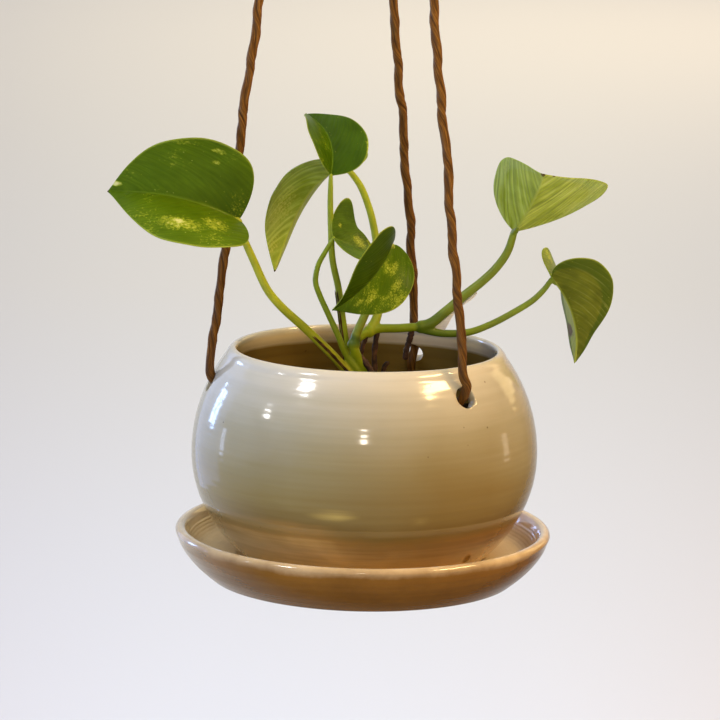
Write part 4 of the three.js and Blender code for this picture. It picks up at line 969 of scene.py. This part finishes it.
    # Living leaf: a waxy sheen above and a duller one below, and a little light that comes through the blade
    relief = add(tree, "Math", {0: mottle, 1: 0.8 if is_top else 1.5, 2: vein_wave}, operation="MULTIPLY_ADD")
    relief = add(tree, "Bump", {"Height": relief, "Strength": 0.09 if is_top else 0.14, "Distance": 0.0005})
    feed(shader, {"Base Color": face, "Roughness": 0.34 if is_top else 0.5,
                  "Specular IOR Level": 0.14 if is_top else 0.18, "Subsurface Weight": 0.2,
                  "Subsurface Radius": (0.7, 1.0, 0.15), "Subsurface Scale": 0.0009, "Normal": relief})
    return made


rib_lines = {}
for letter, leaf in LEAVES.items():
    look = LEAF_LOOKS[letter]
    skins = [leaf_face(f"upper_face_{letter}", look["upper"], look, True),
             leaf_face(f"under_face_{letter}", look["under"], look, False)]
    *shape, slots, rib_lines[letter], edge = leaf_mesh(leaf)
    made = piece(f"leaf_blade_{letter}", shape, skins, [f"leaf_{letter}"], slots)
    made.data.attributes.new("margin", "FLOAT", "POINT").data.foreach_set("value", edge)

# Vine: one grown stem with thickened joints, and a long smooth stalk for each leaf. Fresh, firm and juicy: the
# skin has a soft sheen, is yellow-green in the light and deeper green round the joints, with painted shade
# under the stem past the last joint.
STEM = (2.4, [(4, 4, -50), (4, 4, -34), (3, 3, -24), (0, 0.5, -13), (-4, -1.5, -5), (-6, -2, 2), (-3, 3, 4.5),
              (1, 7.5, 6), (6, 10, 7), (14, 12, 7), (22, 13, 7.5), (26, 14, 7.5)], "#82920f")
STALKS = {  # radius, centreline from the stem to the blade, and the skin's colour
    "a": (2.1, [(3, 3, -26), (-2, 0, -18), (-8.5, -3, -11), (-17, -6, -1.5), (-28, -9, 9.5), (-39.5, -13, 20.5),
                (-45.5, -15, 28), (-52.5, -18, 43), (-58, -20, 56), (-59, -20, 61)], "#a0a420"),
    "b": (1.7, [(3, 3.5, -25), (-4, 5, -19), (-7.5, 5, -12), (-9.5, 5, 0), (-11.5, 5, 13), (-13.5, 4, 26.5),
                (-16.5, 3, 40), (-17.5, 2, 55), (-18, 1, 67.5), (-18, 0, 79.5)], "#8b991c"),
    "c": (1.9, [(1, 7.5, 6), (4.5, 13, 12), (5.5, 22, 25.5), (4.5, 27, 38), (2, 27, 53), (-0.5, 26, 62),
                (-5, 24, 72.5), (-11, 22, 79.5)], "#a1ab25"),
    "d": (1.5, [(2, 2, -21), (-4, -2, -11), (-9.5, -3, -3), (-13, -4, 5.5), (-18, -4, 16), (-22, -4, 24.5),
                (-24, -4, 30.5), (-23, -3.5, 38), (-19.5, -3, 45), (-16, -2, 51)], "#7a8b18"),
    "e": (1.9, [(-6, -2, 0), (-5, -2, 6), (-2.5, -2, 12), (0, -1, 17.5), (5, 0, 25), (9, -0.5, 36),
                (10.5, -3, 45), (10.5, -6, 48.5)], "#869129"),
    "f": (2.2, [(23, 13.5, 7.5), (29, 14, 9), (36, 15, 14.5), (45, 16, 22.5), (53, 17, 29), (59.5, 18, 35.5),
                (64.5, 19, 43), (67.5, 20, 52.5)], "#75841a"),
    "g": (1.7, [(23, 13.5, 7.5), (30, 14, 5.5), (36.5, 15, 4.5), (47.5, 17, 5), (57.5, 19, 8.5),
                (68.5, 20, 14.5), (77, 21, 20), (82.5, 22, 25.5), (86, 22, 30.5)], "#6f8018"),
}
JOINTS = {(-6, -2, 1.5): 3, (1, 7.5, 6): 3, (25, 14, 7.3): 2.9}
DEEPER_AND_SHADED = (((-6, -2, 3.2), 4.2, 0.75), ((24.3, 13.8, 7.4), 3.4, 0.6), ((1, 7.5, 6), 3, 0.4),
          ((34, 14.6, 4.8), 12, 0.45))  # where the skin is deeper green, round the joints and, as painted shade, under the stem past the last joint: centre, reach in mm and how much
STALK_POINTS, STALK_SIDES, BALL_RINGS = 90, 16, 20
STALK_MOTTLE = 7.14286  # mm
MELT_SIZE = 0.45  # mm, the grain at which stem, joints and stalks melt into one skin


def tapered(line, radius, first, last, count, sides=STALK_SIDES):
    """A round tube whose ends are swollen or thinned: first and last are shares of its radius."""
    share = np.linspace(0, 1, count)
    profile = 1.08 - 0.24 * share + (first - 1) * np.exp(-share * 9) + (last - 1) * np.exp((share - 1) * 16)
    ends = np.sqrt(np.clip(1 - (1 - np.minimum(share, 1 - share) * count / 2.2).clip(0) ** 2, 0.02, 1))
    return sweep(curve(line, count), np.repeat((radius * profile * ends)[:, None], sides, 1), sides)

grown = [tapered(STEM[1], STEM[0], 1, 1, STALK_POINTS)]
stalk_points, stalk_tones = [curve(STEM[1], STALK_POINTS)], [linear(STEM[2])] * STALK_POINTS
for letter, (radius, line, tone) in STALKS.items():
    line = line + rib_lines[letter]
    grown.append(tapered(line, radius, 1.25, 0.45, STALK_POINTS))
    stalk_points.append(curve(line, STALK_POINTS))
    stalk_tones += [linear(tone)] * STALK_POINTS
turn = np.arange(STALK_SIDES) * 2 * math.pi / STALK_SIDES
for centre, radius in JOINTS.items():
    axis = [np.array(centre) + (0, 0, z) for z in (-radius, 0, radius)]
    _, faces, uv = tapered(axis, 1, 1, 1, BALL_RINGS)
    ball = []
    for level in np.linspace(-1, 1, BALL_RINGS):
        wide = radius * math.sqrt(max(1 - level**2, 0.01))
        ball.extend(zip(centre[0] + wide * np.cos(turn), centre[1] + wide * np.sin(turn),
                        np.full(STALK_SIDES, centre[2] + radius * level)))
    grown.append((ball, faces, uv))

# Juicy skin: a soft sheen, a little light that comes through, and each stalk's own green as a vertex colour
skin, tree, shader = material("green_stalk_skin")
tone = add(tree, "Attribute", attribute_name="tone").outputs["Color"]
where = add(tree, "TexCoord").outputs["Object"]
mottle = add(tree, "TexNoise", {"Vector": where, "Scale": 1000 / STALK_MOTTLE, "Detail": 4.0, "Roughness": 0.6})
mottle = add(tree, "MapRange", {"Value": mottle, "From Min": 0.3, "From Max": 0.7, "To Min": 0.82,
                                "To Max": 1.15})
skin_colour = add(tree, "Mix", {0: 1.0, "A": tone, "B": mottle}, data_type="RGBA", blend_type="MULTIPLY")
for centre, reach, depth in DEEPER_AND_SHADED:
    away = add(tree, "VectorMath", {0: where, 1: tuple(place(centre))}, operation="DISTANCE")
    ring = add(tree, "MapRange", {"Value": away, "From Min": reach * 0.7 / 1000, "From Max": reach / 1000,
                                  "To Min": depth, "To Max": 0.0})
    # deeper green round the joints, and painted shade under the stem past the last joint
    skin_colour = add(tree, "Mix", {0: ring, "A": skin_colour, "B": "#2f5212"}, data_type="RGBA")
feed(shader, {"Base Color": skin_colour, "Roughness": 0.38, "Subsurface Weight": 0.12,
              "Subsurface Radius": (0.8, 1.0, 0.3), "Subsurface Scale": 0.0012,
              "Normal": add(tree, "Bump", {"Height": mottle, "Strength": 0.2, "Distance": 0.0004})})
vine = piece("pothos_vine", joined(grown)[:2], [skin], ["vine"])
melt = vine.modifiers.new("melt", "REMESH")
melt.mode, melt.voxel_size = "VOXEL", MELT_SIZE / 1000
soften = vine.modifiers.new("soften", "SMOOTH")
soften.factor, soften.iterations = 0.5, 6
applied(vine)
stalk_points, stalk_tones = place(np.vstack(stalk_points)), np.array(stalk_tones)
at = np.empty(len(vine.data.vertices) * 3)
vine.data.vertices.foreach_get("co", at)
tones = []
for block in np.array_split(at.reshape(-1, 3), 40):
    near = 1 / (((block[:, None] - stalk_points[None]) ** 2).sum(2) + 1e-7) ** 4
    tones.append(near @ stalk_tones / near.sum(1)[:, None])
vine.data.attributes.new("tone", "FLOAT_COLOR", "POINT").data.foreach_set("color", np.vstack(tones).ravel())
vine.data.materials.clear()
vine.data.materials.append(skin)

# Aerial roots: dark brown and a little gnarled, from the joints down to the soil or to a blunt tip in the air.
ROOTS = {
    1: (1.5, [(21, 13, 7), (19.8, 13, 1), (18.6, 13, -3.5), (18, 13, -8)]),
    2: (1.3, [(5, 9.5, 6), (4, 9, 0), (3.8, 9.5, -8), (5, 11, -20), (7, 12, -32), (7, 12, -42)]),
    3: (1, [(0.5, 6.5, 5), (-1.5, 6, 0), (-2.5, 7, -7), (-2, 8.5, -14), (-1, 9, -19)]),
    4: (1.5, [(-3, -1, -4), (-0.5, -1.5, -7), (3, -2, -12), (7, -3, -22), (9, -4, -33), (9, -4, -42)]),
    5: (1.3, [(13, 8, -42), (13, 8, -33), (11.5, 8, -24), (8, 8, -15.5), (8.5, 8, -10.5), (10.5, 8, -8)]),
}
ROOT_POINTS, ROOT_SIDES, BARK_SIZE = 60, 12, 3.84615  # the last is the bark's grain in mm

# Corky root skin: dull, rough and dark, a little lighter on its knobs
bark, tree, shader = material("root_bark")
where = add(tree, "TexCoord").outputs["Object"]
rough = add(tree, "TexNoise", {"Vector": where, "Scale": 1000 / BARK_SIZE, "Detail": 5.0, "Roughness": 0.65})
bark_colour = add(tree, "ValToRGB", {0: rough}, [(0.3, "#1a100c"), (0.5, "#38251a"), (0.75, "#6a4a31")])
feed(shader, {"Base Color": bark_colour, "Roughness": 0.7,
              "Normal": add(tree, "Bump", {"Height": rough, "Strength": 0.8, "Distance": 0.0006})})
rng = np.random.default_rng(70)
for number, (radius, line) in ROOTS.items():
    share = np.linspace(0, 1, ROOT_POINTS)
    gnarl = 1 + 0.08 * np.sin(share * 37 + number) + 0.05 * np.sin(share * 61 + 2 * number)
    blunt = np.sqrt(np.clip(1 - (1 - (1 - share) * ROOT_POINTS / 3).clip(0) ** 2, 0.02, 1))
    radii = radius * gnarl * blunt * (1 - 0.15 * share)
    radii = radii[:, None] * (1 + 0.05 * rng.standard_normal((ROOT_POINTS, ROOT_SIDES)))
    root = sweep(curve(line, ROOT_POINTS), radii, ROOT_SIDES)
    piece(f"aerial_root_{number}", root[:2], [bark], [f"root_{number}"])

# Dried wings: the lower part of each older stalk keeps the two dried edges of its wrapper as thin dark brown
# lines that run down into the pot.
WING_RUNS = {"a": (-14, 6.5, 0.5), "b": (-16, 26, -0.9)}  # lowest and highest point, and how far to the right
WING_SIDES, WEAR_SIZE = 8, 3.33333  # the last is in mm

# Dry plant fibre: dull brown, worn lighter in places
wing_skin, tree, shader = material("dried_wing")
where = add(tree, "TexCoord").outputs["Object"]
wear = add(tree, "TexNoise", {"Vector": where, "Scale": 1000 / WEAR_SIZE, "Detail": 4.0})
wing_colour = add(tree, "ValToRGB", {0: wear}, [(0.3, "#2c1a0a"), (0.5, "#49300f"), (0.75, "#7d5a2c")])
feed(shader, {"Base Color": wing_colour, "Roughness": 0.75,
              "Normal": add(tree, "Bump", {"Height": wear, "Strength": 0.5, "Distance": 0.0003})})
for letter, (lowest, highest, rightward) in WING_RUNS.items():
    radius, line, _ = STALKS[letter]
    line = curve(line, 160)
    line = line[(line[:, 2] > lowest) & (line[:, 2] < highest)]
    wings = []
    for offset, thickness in ((rightward, 0.42), (rightward - 0.9, 0.3)):
        share = np.linspace(0, 1, len(line))
        thin = thickness * np.sqrt(np.clip(1 - (2 * share - 1) ** 6, 0.02, 1)) * (1 + 0.15 * np.sin(share * 41))
        edge = line + (offset, -radius * math.sqrt(max(1 - (offset / radius) ** 2, 0.1)) * 1.05, 0.2)
        wings.append(sweep(edge, np.repeat(thin[:, None], WING_SIDES, 1), WING_SIDES))
    piece(f"dried_wing_{letter}", joined(wings)[:2], [wing_skin])

# Sheath: the dried wrapper that the newest leaf came out of, thin as paper. It clasps the back of the stalk
# near the joint, hangs free below it there and narrows to a thin edge further up.
# Where along the stalk, and mm that the wrapper hangs below it there
FLAP = [(28, 2.6), (31, 4.0), (34, 2.8), (37.5, 1.1), (41, 0.4), (44.5, 0.9), (47, 1.1), (49, 0.3)]
CLASP = np.radians(np.linspace(-60, 0, 7))  # angles round the stalk
HANG = (0.2, 0.4, 0.6, 0.8, 1)  # shares of the way down from the stalk to the free edge
ALONG, ACROSS = 40, len(CLASP) + len(HANG)  # points of the sheet each way
SHEET_HALF = 0.1  # mm, half the sheet's thickness
STREAK_SIZE = (8.33333, 2.5, 0.714286)  # mm

# Papery wrapper: almost white, matt and finely streaked, and light shines through it
paper, tree, shader = material("dried_sheath")
where = add(tree, "TexCoord").outputs["Object"]
fibre_space = add(tree, "Mapping", {"Vector": where, "Rotation": (0, math.radians(40), 0),
                                    "Scale": [1000 / size for size in STREAK_SIZE]})
streaks = add(tree, "TexNoise", {"Vector": fibre_space, "Scale": 1.0, "Detail": 4.0})
paper_colour = add(tree, "ValToRGB", {0: streaks}, [(0.3, "#e2ddd2"), (0.5, "#f1ede3"), (0.7, "#fcfaf4")])
feed(shader, {"Base Color": paper_colour, "Roughness": 0.6, "Transmission Weight": 0.4})
sheath_rows = []
stalk_f = curve(STALKS["f"][1], 200)
radius = STALKS["f"][0] + 0.35
for x, hang in FLAP:
    at = int(np.argmin(np.abs(stalk_f[:, 0] - x)))
    ahead = stalk_f[min(at + 1, len(stalk_f) - 1)] - stalk_f[at - 1]
    below = np.array((ahead[2], 0, -ahead[0])) / np.hypot(ahead[0], ahead[2])
    row = [stalk_f[at] + radius * (np.cos(a) * below - np.sin(a) * np.array((0, 1, 0))) for a in CLASP]
    row += [stalk_f[at] + below * (radius + hang * share) + (0, 0.5 * math.sin(x * 0.7) * share, 0)
            for share in HANG]
    sheath_rows.append(row)
sheath_rows = np.array(sheath_rows)
sheath_net = np.array([curve(sheath_rows[:, k], ALONG) for k in range(ACROSS)]).transpose(1, 0, 2)
step = np.cross(np.gradient(sheath_net, axis=0), np.gradient(sheath_net, axis=1))
step /= np.linalg.norm(step, axis=2)[:, :, None]
outer, inner = sheath_net + SHEET_HALF * step, sheath_net - SHEET_HALF * step
sheath_vertices = list(outer.reshape(-1, 3)) + list(inner.reshape(-1, 3))
under = ALONG * ACROSS  # where the inner face's vertices start
sheath_faces = []
for i in range(ALONG - 1):
    for k in range(ACROSS - 1):
        a = i * ACROSS + k
        sheath_faces.append((a, a + ACROSS, a + ACROSS + 1, a + 1))
        sheath_faces.append((under + a, under + a + 1, under + a + ACROSS + 1, under + a + ACROSS))
    for k in (0, ACROSS - 1):
        a = i * ACROSS + k
        strip = (a, under + a, under + a + ACROSS, a + ACROSS)
        sheath_faces.append(strip if k == 0 else strip[::-1])
for k in range(ACROSS - 1):
    sheath_faces.append((k, k + 1, under + k + 1, under + k))
    a = (ALONG - 1) * ACROSS + k
    sheath_faces.append((a + 1, a, under + a, under + a + 1))
piece("papery_sheath", (sheath_vertices, sheath_faces), [paper], ["leaf_sheath"])

# Crumb of soil that was washed through a weep hole and dried in the saucer: a lump with four small bits that
# stick to it, in the same dull potting mix.
CRUMB_AT = (52, -37, foot + SAUCER_FLOOR)
CRUMB_BITS = (  # size, and how far aside and away from the middle in mm
    (1.0, 0, 0), (0.55, 1.6, 0.5), (0.5, -1.9, -0.3), (0.35, 0.8, -1.1), (0.3, -0.6, 1.0))
BIT_POINTS, BIT_SIDES = 14, 10
rng = np.random.default_rng(80)
crumb_bits = []
for size, dx, dy in CRUMB_BITS:
    line = [(CRUMB_AT[0] + dx + 2.2 * size * end, CRUMB_AT[1] + dy, CRUMB_AT[2] + gap + high * size)
            for end, gap, high in ((-1, 0.3, 1.25), (0, 0.35, 1.4), (1, 0.3, 1.2))]
    share = np.linspace(0, 1, BIT_POINTS)
    radii = 1.3 * size * np.sqrt(np.clip(1 - (2 * share - 1) ** 2, 0.03, 1))
    radii = radii[:, None] * (1 + 0.14 * rng.standard_normal((BIT_POINTS, BIT_SIDES)))
    crumb_bits.append(sweep(curve(line, BIT_POINTS), radii, BIT_SIDES))
piece("dried_soil_crumb", joined(crumb_bits)[:2], [earth], ["soil_crumb"])
